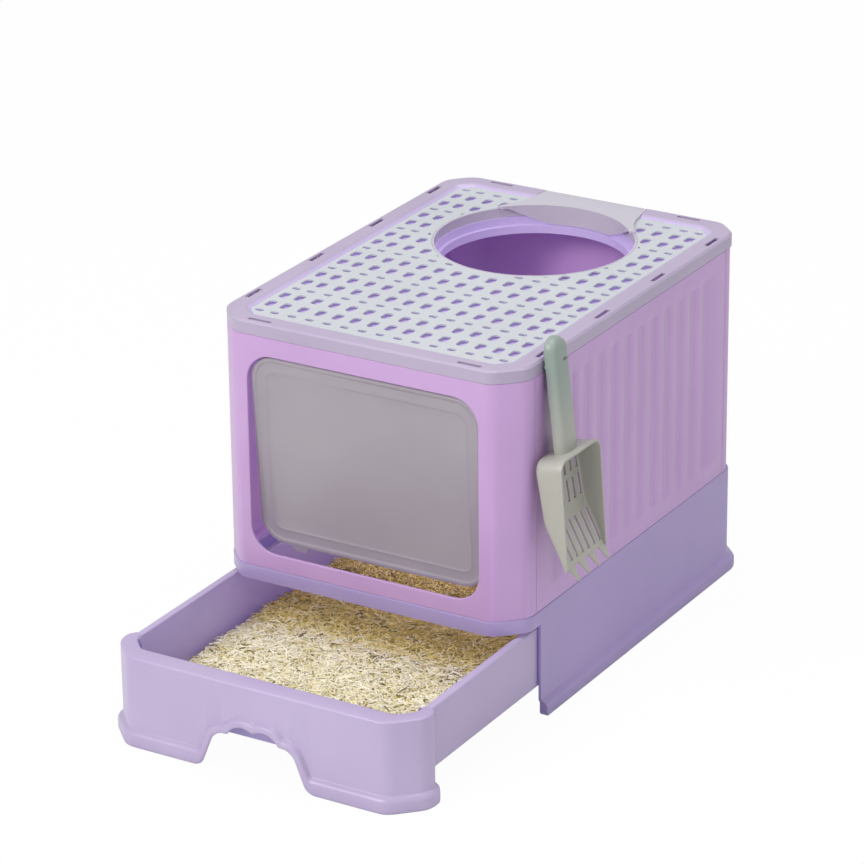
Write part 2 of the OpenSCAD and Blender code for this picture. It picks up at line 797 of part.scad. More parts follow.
module lid_frame() color(lid_lilac) at_origin() {
    rim_t = lid_wall;
    tray_bottom = lid_floor - lid_wall;
    seat_r = entry_r + edge_gap;
    difference() {
        union() {
            difference() {
                union() {
                    block(lid_z + lift_gap, lid_top - lid_bevel, 0);
                    hull() {
                        block(lid_top - lid_bevel - eps, lid_top - lid_bevel, 0);
                        block(lid_top - eps, lid_top, -lid_bevel);
                    }
                }
                block(lid_z - 1, lid_top - rim_t, -lid_wall);
            }
            translate([0, 0, tray_bottom]) linear_extrude(lid_top - tray_bottom - eps)
                plate_plan(lid_wall + edge_gap);
            // Bed under the tongue's end
            intersection() {
                translate([0, 0, tongue_z - lift_gap - lid_wall])
                    linear_extrude(lid_wall + lift_gap) tongue_plan(6);
                block(lid_z, lid_top, -lid_wall + eps);
            }
            entry_cylinder(ring_seat - collar_wall, lid_floor, seat_r + collar_wall);
            entry_cylinder(ring_seat - collar_h, ring_seat, collar_r + collar_wall);
        }
        // Tray for the plate, with a ledge under the plate's edge
        translate([0, 0, lid_floor]) linear_extrude(lid_h) plate_plan(-plate_ledge);
        translate([0, 0, plate_z - lift_gap]) linear_extrude(lid_h) plate_plan(edge_gap);
        hull() {
            translate([0, 0, plate_top]) linear_extrude(eps) plate_plan(edge_gap);
            translate([0, 0, lid_top + eps]) linear_extrude(eps) plate_plan(edge_gap + rim_slope);
        }
        // Entry: seat of the ring, then the collar's two steps
        entry_cylinder(ring_seat, lid_top, seat_r);
        entry_cylinder(ring_seat - collar_upper_h, lid_top, collar_r);
        entry_cylinder(0, lid_top, collar_low_r);
        translate([0, 0, tongue_z - lift_gap]) linear_extrude(lid_h) tongue_plan(0.5);
        all_clip_slots(lid_z + 1, lid_top + 1);
        hook_hole();
    }
}

module perforated_plate() color(plate_white) at_origin()
    translate([0, 0, plate_z]) linear_extrude(plate_t)
        difference() {
            plate_plan();
            translate([0, entry_y]) circle(entry_r, $fn = 160);
            difference() {
                plate_holes();
                translate([0, entry_y]) circle(entry_r + 2.5, $fn = 160);
                tongue_plan(2);
            }
        }

// Hole with cut corners, centred on its place
module slot(size, cut)
    translate([-size.x / 2, -size.y / 2]) polygon([[cut, 0], [size.x - cut, 0], [size.x, cut],
        [size.x, size.y - cut], [size.x - cut, size.y], [cut, size.y], [0, size.y - cut], [0, cut]]);

// Places of the columns of holes across the plate
function hole_columns() =
    let (count = floor((plate_w / 2 - outer_pitch - oval_hole.x / 2) / hole_pitch),
        outer = count * hole_pitch + outer_pitch)
    concat([-outer], [for (i = [-count:count]) i * hole_pitch], [outer]);

// Rows of holes: one oval row, then two long rows, over and over
module plate_holes() {
    first_y = plate_end + hole_margin;
    last_y = plate_end + plate_l - hole_end;
    for (x = hole_columns(), y0 = [first_y:hole_period:last_y]) {
        translate([x, y0]) slot(oval_hole, 2);
        for (dy = [long_row, hole_period - long_row])
            if (y0 + dy < last_y) translate([x, y0 + dy]) slot(long_hole, 2.5);
    }
}

// ---- Entry ring with its tongue ----

// Ring-shaped area round the entry's middle
module entry_band(r_out, r_in)
    translate([0, entry_y]) difference() {
        circle(r_out, $fn = 160);
        circle(r_in, $fn = 160);
    }

module layer(z0, z1)
    translate([0, 0, z0]) linear_extrude(z1 - z0) children();

module entry_ring() color(smoke) at_origin() {
    ring_z = plate_top - ring_depth;
    bib_r = collar_r - 0.5;
    bib_in = bib_r - ring_wall;
    bib_low = 4;    // depth of the round edge below the collar's step, where the wall is cut off
    // Deeper wall at the back with a round lower edge, which goes down inside the collar
    intersection() {
        union() {
            layer(ring_seat - collar_upper_h + bib_gap, plate_top) entry_band(bib_r, bib_in);
            layer(ring_z, plate_top) entry_band(ring_out - ring_wall / 2, bib_in);
        }
        translate([0, entry_y, ring_seat - collar_upper_h + bib_round - bib_low])
            rotate([-90, 0, 0]) cylinder(h = bib_r, r = bib_round, $fn = 160);
    }
    layer(ring_z, plate_top) entry_band(ring_out, ring_out - ring_wall);
    layer(plate_top, tongue_z) intersection() {
        entry_band(ring_out, bib_in);
        tongue_plan();
    }
    layer(tongue_z, lid_top - 0.2) difference() {
        tongue_plan();
        translate([0, entry_y]) circle(bib_in, $fn = 160);
    }
}

// ---- Scoop and its hook ----

hook_arm_z = lid_z + lift_gap + 1;         // underside of the hook's arm
bar_z0 = hook_arm_z + hook_t + lift_gap;   // underside of the handle's bar
stub_z = hook_arm_z + 4;                   // underside of the hook's stub in the lid
stub = [lid_wall + 2, 6, 5];               // stub behind the hook's plate

module hook_hole()
    translate([body_w / 2 - stub.x, scoop_y - stub.y / 2 - 0.2, stub_z - 0.2])
        cube([stub.x + 1, stub.y + 0.4, stub.z + 0.4]);

module scoop_hook() color(scoop_grey) at_origin()
    translate([body_w / 2, scoop_y, 0]) {
        reach = 2 * hook_t + hook_room;
        translate([0, -hook_w / 2, hook_arm_z]) {
            cube([hook_t, hook_w, lid_top - lid_bevel - hook_arm_z - 1]);
            cube([reach, hook_w, hook_t]);
            translate([reach - hook_t, 0, 0]) cube([hook_t, hook_w, hook_tip]);
        }
        translate([-stub.x, -stub.y / 2, stub_z]) cube([stub.x + eps, stub.y, stub.z]);
    }

handle_round = 8;                          // rounding of the handle's front edges
handle_set = 0.8;                          // handle's top, from the side panel
hang_hole = [5, 2.6];                      // depth and height of the hanging hole
hole_drop = 24;                            // hanging hole, below the handle's top

// Handle's section: flat behind, round in front, shrunk by in at the front and the sides
module handle_section(in = 0) {
    half = handle_w / 2 - in;
    front = handle_d - in;
    polygon(softened([[-in, -half], [front, -half], [front, half], [-in, half]],
        [0, handle_round - in, handle_round - in, 0]));
}

// Handle's front view, with a round top
module handle_face(in = 0)
    translate([0, -handle_l]) round_rect(handle_w - 2 * in, handle_l - in, handle_w / 2 - in - 1);

module handle_solid(in = 0)
    intersection() {
        translate([0, 0, -handle_l - 1]) linear_extrude(handle_l + 2) handle_section(in);
        rotate([90, 0, 90]) translate([0, 0, -in - 1]) linear_extrude(handle_d + 2) handle_face(in);
    }

module scoop_handle()
    translate([handle_set, 0, scoop_top]) rotate([0, -handle_lean, 0])
        difference() {
            handle_solid();
            difference() {
                handle_solid(handle_wall);
                translate([-1, -big / 2, -handle_l]) cube([big, big, handle_wall]);
            }
            // Hanging hole through the handle's sides
            translate([handle_d / 2 - 1, 0, -hole_drop])
                cube([hang_hole.x, handle_w + 1, hang_hole.y], center = true);
        }

// Bar across the handle, which rests in the hook
module handle_bar()
    translate([hook_t + 0.5, -handle_w / 2 + handle_wall / 2, bar_z0])
        cube([hook_room - 1, handle_w - handle_wall, 3.5]);

// Closed outline of the bowl seen from the side: its back edge moved out by shift
module bowl_profile(shift, top_in, mouth)
    polygon([[bowl_a.x + shift, bowl_a.y - top_in], [bowl_rim.x + mouth, bowl_rim.y - top_in],
        [bowl_c.x + mouth + 4, bowl_c.y], [bowl_c.x + shift, bowl_c.y], [bowl_b.x + shift, bowl_b.y]]);

// Prism across the scoop of a drawing in (out, z)
module scoop_prism(w) translate([0, w / 2, 0]) rotate([90, 0, 0]) linear_extrude(w) children();

// Bowl's front view, shrunk by in
module bowl_face(in)
    translate([0, bowl_c.y - 30]) round_rect(bowl_w - 2 * in, bowl_rim.y - bowl_c.y + 30 - in, bowl_r - in);

// Rows of slots, each from and to a share of the steep back's height below its top
slot_rows = [[0.12, 0.46], [0.56, 0.9], [1.12, 1.62]];
slot_margin = 6;                           // last slots' middle, from the bowl's sides

module scoop_bowl() {
    slot_pitch = (bowl_w - 2 * slot_margin) / (slot_count - 1);
    difference() {
        intersection() {
            scoop_prism(bowl_w) bowl_profile(0, 0, 0);
            rotate([90, 0, 90]) linear_extrude(big) bowl_face(0);
        }
        intersection() {
            scoop_prism(bowl_w) bowl_profile(bowl_wall, bowl_wall, 20);
            rotate([90, 0, 90]) linear_extrude(big) bowl_face(bowl_wall);
        }
        // Slots through the back and the lower floor
        for (i = [0:slot_count - 1], row = slot_rows)
            translate([0, (i - (slot_count - 1) / 2) * slot_pitch - slot_w / 2,
                bowl_a.y - row[1] * bowl_back_h])
                cube([bowl_rim.x - 2 * bowl_wall, slot_w, (row[1] - row[0]) * bowl_back_h]);
    }
    // Teeth, which go on from the floor
    intersection() {
        scoop_prism(bowl_w) polygon([bowl_c - [0, eps], bowl_c + [bowl_wall, eps],
            tooth_tip + [bowl_wall, 0], tooth_tip]);
        rotate([90, 0, 90]) linear_extrude(big) polygon(concat(
            [[-bowl_w / 2, bowl_c.y + 1], [bowl_w / 2, bowl_c.y + 1]],
            [for (i = [tooth_count - 1:-1:0]) let (p = bowl_w / tooth_count, y = -bowl_w / 2 + i * p)
                each [[y + p, bowl_c.y - 1], [y + p - 2, tooth_tip.y], [y + p - 5, tooth_tip.y],
                    [y + p * 0.3, bowl_c.y - 1]]]));
    }
}

module scoop() color(scoop_grey) at_origin()
    translate([body_w / 2, scoop_y, 0]) {
        difference() {
            scoop_handle();
            scoop_prism(bowl_w) bowl_profile(bowl_wall, bowl_wall, 20);
        }
        handle_bar();
        scoop_bowl();
    }

base_shell();
drawer_tray();
litter_bed();
front_panel();
back_panel();
left_panel();
right_panel();
lid_frame();
perforated_plate();
entry_ring();
front_door();
door_pins();
scoop();
scoop_hook();
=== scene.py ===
"""Builds the looks of a drawer litter box around its packed construction.

The construction gives every size and place. Each class below is one sub-assembly: it keeps its
sizes as fields, forms its meshes and dresses them in a finish. All lengths are in metres.
"""

from __future__ import annotations

import logging
import math
from contextlib import contextmanager
from dataclasses import dataclass
from enum import Enum
from typing import Callable, Iterator, Sequence, Union

import bpy
import numpy as np
from mathutils import Matrix, Vector

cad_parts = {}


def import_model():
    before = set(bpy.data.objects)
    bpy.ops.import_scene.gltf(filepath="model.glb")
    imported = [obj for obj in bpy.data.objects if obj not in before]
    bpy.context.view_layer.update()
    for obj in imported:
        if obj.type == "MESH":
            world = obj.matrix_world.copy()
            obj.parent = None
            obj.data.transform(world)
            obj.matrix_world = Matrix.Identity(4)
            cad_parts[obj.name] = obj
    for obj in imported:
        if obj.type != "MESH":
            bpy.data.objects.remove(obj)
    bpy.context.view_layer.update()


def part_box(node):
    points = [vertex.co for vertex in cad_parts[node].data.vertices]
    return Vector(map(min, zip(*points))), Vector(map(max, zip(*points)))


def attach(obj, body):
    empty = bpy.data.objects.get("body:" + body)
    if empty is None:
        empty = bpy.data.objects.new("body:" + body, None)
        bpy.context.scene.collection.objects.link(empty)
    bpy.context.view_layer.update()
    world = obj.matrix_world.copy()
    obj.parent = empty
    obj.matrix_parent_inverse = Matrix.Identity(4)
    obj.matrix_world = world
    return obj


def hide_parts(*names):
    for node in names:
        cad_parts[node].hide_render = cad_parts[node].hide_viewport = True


LOG = logging.getLogger("litter_box")
MM = 0.001
WELD = 0.01 * MM                 # points closer than this are one
CUT_GAIN = 2 - math.sqrt(2)      # growth of a corner cut when its outline grows by 1
SKIN = 1.6 * MM                  # what lies deeper in a wall than this is its inner side
PLASTIC_IOR = 1.49
MOULD_GRAIN = 1400               # grains of a mould's face in a metre

Point = Sequence[float]
Number = Union[int, float]


# ---- Modelling steps ---------------------------------------------------------------------------


def deselect() -> None:
    """Leaves nothing selected."""
    bpy.ops.object.select_all(action="DESELECT")


def only(piece: bpy.types.Object) -> None:
    """Selects one piece alone and makes it active.

    Args:
        piece: the piece.
    """
    deselect()
    piece.select_set(True)
    bpy.context.view_layer.objects.active = piece


@contextmanager
def editing(piece: bpy.types.Object) -> Iterator[None]:
    """Opens a piece in edit mode for the length of a with block.

    Args:
        piece: the piece to edit; its selection is kept as it is.
    """
    only(piece)
    bpy.ops.object.mode_set(mode="EDIT")
    try:
        yield
    finally:
        bpy.ops.object.mode_set(mode="OBJECT")


def pick_faces(piece: bpy.types.Object, test: Callable[[bpy.types.MeshPolygon], bool]) -> int:
    """Selects the faces that pass a test, and nothing else.

    Args:
        piece: the piece, in object mode.
        test: says whether a face is wanted.

    Returns:
        How many faces are selected.
    """
    mesh = piece.data
    mesh.vertices.foreach_set("select", [False] * len(mesh.vertices))
    mesh.edges.foreach_set("select", [False] * len(mesh.edges))
    wanted = [bool(test(face)) for face in mesh.polygons]
    mesh.polygons.foreach_set("select", wanted)
    return sum(wanted)


def finish_with(piece: bpy.types.Object, kind: str, **settings: object) -> None:
    """Adds a modifier to a piece and applies it.

    Args:
        piece: the piece.
        kind: Blender's name of the modifier's type.
        settings: the modifier's settings.
    """
    modifier = piece.modifiers.new(kind.title(), kind)
    for name, value in settings.items():
        setattr(modifier, name, value)
    only(piece)
    bpy.ops.object.modifier_apply(modifier=modifier.name)


def settle(piece: bpy.types.Object) -> None:
    """Puts a piece's place, turn and size into its mesh."""
    only(piece)
    bpy.ops.object.transform_apply(location=True, rotation=True, scale=True)


def join(pieces: Sequence[bpy.types.Object], name: str) -> bpy.types.Object:
    """Joins pieces into one.

    Args:
        pieces: the pieces; the first one lives on.
        name: the joined piece's name.

    Returns:
        The joined piece.
    """
    deselect()
    for piece in pieces:
        piece.select_set(True)
    bpy.context.view_layer.objects.active = pieces[0]
    if len(pieces) > 1:
        bpy.ops.object.join()
    pieces[0].name = name
    pieces[0].data.name = name
    return pieces[0]


def formed_sheet(name: str, lines: Sequence[Sequence[Vector]]) -> bpy.types.Object:
    """Adds a grid and moves its points to their places.

    Args:
        name: the sheet's name.
        lines: one list of places for each row, from the bottom up, each from left to right.

    Returns:
        The sheet, whose faces look outwards when its columns run to the right and its rows up.
    """
    deselect()
    columns = len(lines[0])
    bpy.ops.mesh.primitive_grid_add(x_subdivisions=columns - 1, y_subdivisions=len(lines) - 1,
                                    size=1)
    sheet = bpy.context.object
    sheet.name = name
    for index, vertex in enumerate(sheet.data.vertices):
        row, column = divmod(index, columns)
        vertex.co = lines[row][column]
    return sheet


def weld(piece: bpy.types.Object, close: bool = False) -> None:
    """Merges points that lie on each other.

    Args:
        piece: the piece.
        close: whether its holes are closed too.
    """
    with editing(piece):
        bpy.ops.mesh.select_all(action="SELECT")
        bpy.ops.mesh.remove_doubles(threshold=WELD)
        if close:
            bpy.ops.mesh.select_all(action="SELECT")
            bpy.ops.mesh.fill_holes(sides=0)
            bpy.ops.mesh.select_all(action="SELECT")
            bpy.ops.mesh.normals_make_consistent(inside=False)
        bpy.ops.mesh.select_all(action="DESELECT")


def thicken(piece: bpy.types.Object, wall: float, rim: float = 0.0) -> None:
    """Gives a sheet its wall, behind its face.

    Args:
        piece: the sheet.
        wall: the wall's thickness.
        rim: softening of the wall's free edges, or 0 for none.
    """
    finish_with(piece, "SOLIDIFY", thickness=wall, offset=-1)
    if rim:
        finish_with(piece, "BEVEL", width=rim, segments=2, limit_method="ANGLE",
                    angle_limit=math.radians(50), use_clamp_overlap=True)


def smooth(piece: bpy.types.Object, angle: float = math.radians(35)) -> None:
    """Shades a piece smooth, apart from edges that bend by more than an angle."""
    only(piece)
    bpy.ops.object.shade_smooth_by_angle(angle=angle)


def prism(name: str, outline: Sequence[Vector], way: Vector) -> bpy.types.Object:
    """Adds a flat outline and extrudes it.

    Args:
        name: the prism's name.
        outline: points of the outline, all in one plane.
        way: how far and which way it is extruded.

    Returns:
        The closed prism.
    """
    deselect()
    bpy.ops.mesh.primitive_circle_add(vertices=len(outline), fill_type="NGON")
    piece = bpy.context.object
    piece.name = name
    for vertex, place in zip(piece.data.vertices, outline):
        vertex.co = place
    with editing(piece):
        bpy.ops.mesh.select_all(action="SELECT")
        bpy.ops.mesh.extrude_region_move(TRANSFORM_OT_translate={"value": way})
        bpy.ops.mesh.select_all(action="SELECT")
        bpy.ops.mesh.normals_make_consistent(inside=False)
        bpy.ops.mesh.select_all(action="DESELECT")
    return piece


def bar(name: str, low: Vector, high: Vector, edge: float = 0.4 * MM) -> bpy.types.Object:
    """Adds a straight bar with softened edges.

    Args:
        name: the bar's name.
        low: its lowest corner.
        high: its highest corner.
        edge: radius of its edges, or 0 for sharp ones.

    Returns:
        The bar.
    """
    deselect()
    bpy.ops.mesh.primitive_cube_add(size=1, location=(low + high) / 2)
    piece = bpy.context.object
    piece.name = name
    piece.scale = high - low
    settle(piece)
    if edge:
        finish_with(piece, "BEVEL", width=edge, segments=2, limit_method="ANGLE")
    return piece


def rod(name: str, start: Vector, length: float, radius: float) -> bpy.types.Object:
    """Adds a round rod that runs along x from its start.

    Args:
        name: the rod's name.
        start: the middle of its left end.
        length: its length.
        radius: its radius.

    Returns:
        The rod.
    """
    deselect()
    bpy.ops.mesh.primitive_cylinder_add(vertices=32, radius=radius, depth=length,
                                        location=start + Vector((length / 2, 0, 0)),
                                        rotation=(0, math.pi / 2, 0))
    piece = bpy.context.object
    piece.name = name
    settle(piece)
    return piece


def carve(piece: bpy.types.Object, cutters: Sequence[bpy.types.Object]) -> None:
    """Cuts solids out of a piece, and removes them.

    Args:
        piece: the closed piece.
        cutters: closed solids that don't overlap each other.
    """
    cutter = join(cutters, "cutter")
    finish_with(piece, "BOOLEAN", operation="DIFFERENCE", solver="EXACT", object=cutter)
    bpy.data.objects.remove(cutter)


def soften_edges(piece: bpy.types.Object, radius: float, segments: int = 3,
                 angle: float = math.radians(25)) -> None:
    """Rounds a piece's sharp edges and shades it as one smooth moulding.

    Args:
        piece: the piece.
        radius: radius of the rounding.
        segments: faces across the rounding.
        angle: edges that bend by more than this are rounded.
    """
    finish_with(piece, "BEVEL", width=radius, segments=segments, limit_method="ANGLE",
                angle_limit=angle, use_clamp_overlap=True)
    only(piece)
    bpy.ops.object.shade_smooth()
    finish_with(piece, "WEIGHTED_NORMAL", keep_sharp=False, weight=80)


def moulding(node: str, name: str, radius: float, segments: int = 3,
             angle: float = math.radians(25)) -> bpy.types.Object:
    """Copies a node of the construction and softens its edges, as a mould leaves them.

    Args:
        node: the node's name.
        name: the new piece's name.
        radius: radius of the softened edges.
        segments: faces across a softened edge.
        angle: edges that bend by more than this are softened.

    Returns:
        The new piece.
    """
    source = bpy.data.objects[node]
    piece = bpy.data.objects.new(name, source.data.copy())
    piece.data.name = name
    piece.data.materials.clear()
    bpy.context.scene.collection.objects.link(piece)
    with editing(piece):
        bpy.ops.mesh.customdata_custom_splitnormals_clear()
        bpy.ops.mesh.select_all(action="SELECT")
        bpy.ops.mesh.remove_doubles(threshold=2e-6)
        bpy.ops.mesh.dissolve_limited(angle_limit=math.radians(0.3), delimit=set())
        bpy.ops.mesh.select_all(action="DESELECT")
    soften_edges(piece, radius, segments, angle)
    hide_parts(node)
    return piece


# ---- Outlines ----------------------------------------------------------------------------------


def blend_corner(before: Vector, corner: Vector, after: Vector, length: float,
                 steps: int) -> list[Vector]:
    """Curve that rounds a corner.

    Args:
        before: a point on the way to the corner.
        corner: the corner itself.
        after: a point on the way from it.
        length: where the curve starts and ends, measured from the corner.
        steps: stretches along the curve.

    Returns:
        The curve's points.
    """
    start = corner + (before - corner).normalized() * length
    end = corner + (after - corner).normalized() * length
    curve = []
    for step in range(steps + 1):
        t = step / steps
        curve.append(start * (1 - t) ** 2 + corner * (2 * t * (1 - t)) + end * t ** 2)
    return curve


def arc(middle: Vector, radius: float, start: float, end: float, steps: int) -> list[Vector]:
    """Points along an arc, from one turn to another."""
    turns = [start + (end - start) * step / steps for step in range(steps + 1)]
    return [middle + Vector((math.cos(turn), math.sin(turn))) * radius for turn in turns]


def stretch(start: Vector, end: Vector, count: int) -> list[Vector]:
    """Evenly spaced points on a line, with its start and without its end."""
    return [start.lerp(end, i / count) for i in range(count)]


def mirrored(half: Sequence[Vector]) -> list[Vector]:
    """Completes the left half of a symmetric path, whose last point lies on the middle."""
    other = [Vector((-p.x, *p[1:])) for p in reversed(half[:-1])]
    return list(half) + other


def quarter(radius: float, steps: int = 3) -> list[tuple[float, float]]:
    """Quarter round between two faces.

    Args:
        radius: the radius.
        steps: stretches along it.

    Returns:
        Pairs of distances: below the second face, and from the first face.
    """
    turns = [math.pi / 2 * step / steps for step in range(steps + 1)]
    return [(radius * (1 - math.sin(turn)), radius * (1 - math.cos(turn))) for turn in turns]


@dataclass(frozen=True)
class Plan:
    """Rectangle with cut and softly blended corners, seen from above, its front on y = 0.

    Corners are counted counter-clockwise from the left end of the front left cut.
    """

    width: float
    depth: float
    cut: float
    back_cut: float
    blend: float
    steps: int = 6

    def corners(self, out: float) -> list[Vector]:
        """The plan's eight corners.

        Args:
            out: how far the plan is grown.

        Returns:
            The corners, counter-clockwise.
        """
        side = self.width / 2 + out
        front, back = -out, self.depth + out
        cut = self.cut + out * CUT_GAIN
        back_cut = self.back_cut + out * CUT_GAIN
        return [Vector(point) for point in (
            (-side, front + cut), (-side + cut, front), (side - cut, front), (side, front + cut),
            (side, back - back_cut), (side - back_cut, back), (-side + back_cut, back),
            (-side, back - back_cut))]

    def path(self, out: float, first: int, last: int) -> list[Vector]:
        """Part of the plan's edge.

        Args:
            out: how far the plan is grown.
            first: the corner where the path starts.
            last: the corner where it ends.

        Returns:
            The points of the corners' blends, counter-clockwise.
        """
        corners = self.corners(out)
        points = []
        for i in range(first, last + 1):
            before, here, after = (corners[k % 8] for k in (i - 1, i, i + 1))
            points += blend_corner(before, here, after, self.blend, self.steps)
        return points

    def loop(self, out: float, stations: Sequence[float]) -> list[Vector]:
        """The plan's whole edge.

        Args:
            out: how far the plan is grown.
            stations: extra points on both sides, by their distance behind the front.

        Returns:
            The closed loop, whose last point is its first one.
        """
        side = self.width / 2 + out
        points = self.path(out, 0, 3) + [Vector((side, y)) for y in stations]
        points += self.path(out, 4, 7) + [Vector((-side, y)) for y in reversed(stations)]
        return points + points[:1]


def rounded_rectangle(width: float, height: float, radius: float, inset: float,
                      steps: int = 10) -> list[Vector]:
    """Rectangle with round corners, centred on x and standing on z = 0.

    Args:
        width: its width.
        height: its height.
        radius: radius of its corners.
        inset: how far its edge is moved inwards; negative to grow it.
        steps: stretches along each corner.

    Returns:
        Points (x, z), counter-clockwise, whose last point is the first one.
    """
    r = max(radius - inset, 0.5 * MM)
    half = width / 2 - inset - r
    low, high = inset + r, height - inset - r
    points = []
    for quadrant, (x, z) in enumerate(((half, low), (half, high), (-half, high), (-half, low))):
        for step in range(steps + 1):
            turn = math.pi / 2 * (quadrant - 1 + step / steps)
            points.append(Vector((x + r * math.cos(turn), z + r * math.sin(turn))))
    return points + points[:1]


@dataclass(frozen=True)
class RollStep:
    """One line along the skirt's roll.

    Attributes:
        rise: height of the line over the ground.
        spread: distance of the line from the edge of the handle's arch.
        out: how far the roll stands out there.
    """

    rise: float
    spread: float
    out: float


def skirt_roll() -> list[RollStep]:
    """The roll along the foot of the base and the drawer.

    Returns:
        Its lines, from the ground to the flat wall.
    """
    return [RollStep(*(value * MM for value in line)) for line in (
        (0.0, 0.0, 5.6), (0.7, 0.3, 6.7), (2.2, 1.0, 7.6), (4.8, 2.3, 8.0), (8.5, 4.2, 8.0),
        (11.5, 5.6, 8.0), (13.0, 6.4, 7.7), (14.2, 7.0, 7.0), (15.2, 7.6, 5.9), (16.1, 8.1, 4.5),
        (16.9, 8.6, 3.0), (17.6, 9.0, 1.5), (18.2, 9.4, 0.5), (19.0, 9.9, 0.0))]


# ---- Finishes ----------------------------------------------------------------------------------


def linear(colour: str) -> tuple[float, float, float, float]:
    """Turns a colour such as '#b7a6cf' into the linear values that shaders take.

    Args:
        colour: the colour.

    Returns:
        Red, green, blue and full cover.
    """
    parts = [int(colour[i:i + 2], 16) / 255 for i in (1, 3, 5)]
    light = [c / 12.92 if c <= 0.04045 else ((c + 0.055) / 1.055) ** 2.4 for c in parts]
    return light[0], light[1], light[2], 1.0


class Value:
    """A number that varies over a surface; Python's operators on it add Math nodes."""

    def __init__(self, graph: "Graph", socket: bpy.types.NodeSocket) -> None:
        """Keeps the graph and the socket that gives the number."""
        self.graph = graph
        self.socket = socket

    def _maths(self, operation: str, left: object, right: object) -> "Value":
        """Adds one Math node on two values or numbers."""
        node = self.graph.node("ShaderNodeMath", {"operation": operation}, {0: left, 1: right})
        return Value(self.graph, node.outputs[0])

    def __add__(self, other: "Value | Number") -> "Value":
        """self + other."""
        return self._maths("ADD", self, other)

    __radd__ = __add__

    def __sub__(self, other: "Value | Number") -> "Value":
        """self - other."""
        return self._maths("SUBTRACT", self, other)

    def __mul__(self, other: "Value | Number") -> "Value":
        """self * other."""
        return self._maths("MULTIPLY", self, other)


class Graph:
    """The nodes of one material."""

    def __init__(self, name: str) -> None:
        """Starts a material with its output node alone.

        Args:
            name: the material's name.
        """
        self.material = bpy.data.materials.new(name)
        self.material.use_nodes = True
        self.tree = self.material.node_tree
        self.tree.nodes.clear()
        self.output = self.tree.nodes.new("ShaderNodeOutputMaterial")

    def node(self, kind: str, settings: dict[str, object] | None = None,
             inputs: dict[int | str, object] | None = None) -> bpy.types.Node:
        """Adds a node.

        Args:
            kind: Blender's name of the node's type.
            settings: the node's own settings, which are set first.
            inputs: for each input, a number, a colour, a Value or another node's socket.

        Returns:
            The node.
        """
        node = self.tree.nodes.new(kind)
        for name, value in (settings or {}).items():
            setattr(node, name, value)
        for key, value in (inputs or {}).items():
            if isinstance(value, Value):
                value = value.socket
            if isinstance(value, bpy.types.NodeSocket):
                self.tree.links.new(value, node.inputs[key])
            else:
                node.inputs[key].default_value = value
        return node

    def place(self) -> bpy.types.NodeSocket:
        """The surface point in the piece's own coordinates."""
        return self.node("ShaderNodeTexCoord").outputs["Object"]

    def attribute(self, name: str) -> Value:
        """A number that the mesh keeps for each point, or 0 where it keeps none."""
        node = self.node("ShaderNodeAttribute", {"attribute_name": name})
        return Value(self, node.outputs["Fac"])

    def noise(self, scale: float, detail: float = 2.0, roughness: float = 0.5) -> Value:
        """Cloudy noise.

        Args:
            scale: how many clouds fit in a metre.
            detail: how many finer layers lie on it.
            roughness: how strong those layers are.

        Returns:
            The noise, about 0.5 on average.
        """
        node = self.node("ShaderNodeTexNoise", {}, {"Vector": self.place(), "Scale": scale,
                                                     "Detail": detail, "Roughness": roughness})
        return Value(self, node.outputs["Fac"])

    def ramp(self, value: Value, stops: Sequence[tuple[float, str]]) -> bpy.types.NodeSocket:
        """Turns a value into a colour.

        Args:
            value: the value.
            stops: places and their colours.

        Returns:
            The colour's socket.
        """
        node = self.node("ShaderNodeValToRGB", {}, {"Fac": value})
        band = node.color_ramp
        while len(band.elements) < len(stops):
            band.elements.new(0.5)
        for element, (place, colour) in zip(band.elements, stops):
            element.position = place
            element.color = linear(colour)
        return node.outputs["Color"]

    def bump(self, height: Value, depth: float, strength: float = 1.0) -> bpy.types.NodeSocket:
        """Raises the surface in its shading alone.

        Args:
            height: the relief.
            depth: its depth where the height is 1.
            strength: how much of it shows.

        Returns:
            The bent normal's socket.
        """
        node = self.node("ShaderNodeBump", {}, {"Height": height, "Distance": depth,
                                                 "Strength": strength})
        return node.outputs["Normal"]

    def principled(self, **inputs: object) -> bpy.types.Node:
        """Adds the surface shader.

        Args:
            inputs: the shader's inputs, with spaces written as underscores.

        Returns:
            The shader's node, not yet linked to the output.
        """
        named = {name.replace("_", " "): value for name, value in inputs.items()}
        return self.node("ShaderNodeBsdfPrincipled", {}, named)

    def close(self, surface: bpy.types.NodeSocket) -> bpy.types.Material:
        """Links the finished surface to the output and returns the material."""
        self.tree.links.new(surface, self.output.inputs["Surface"])
        return self.material


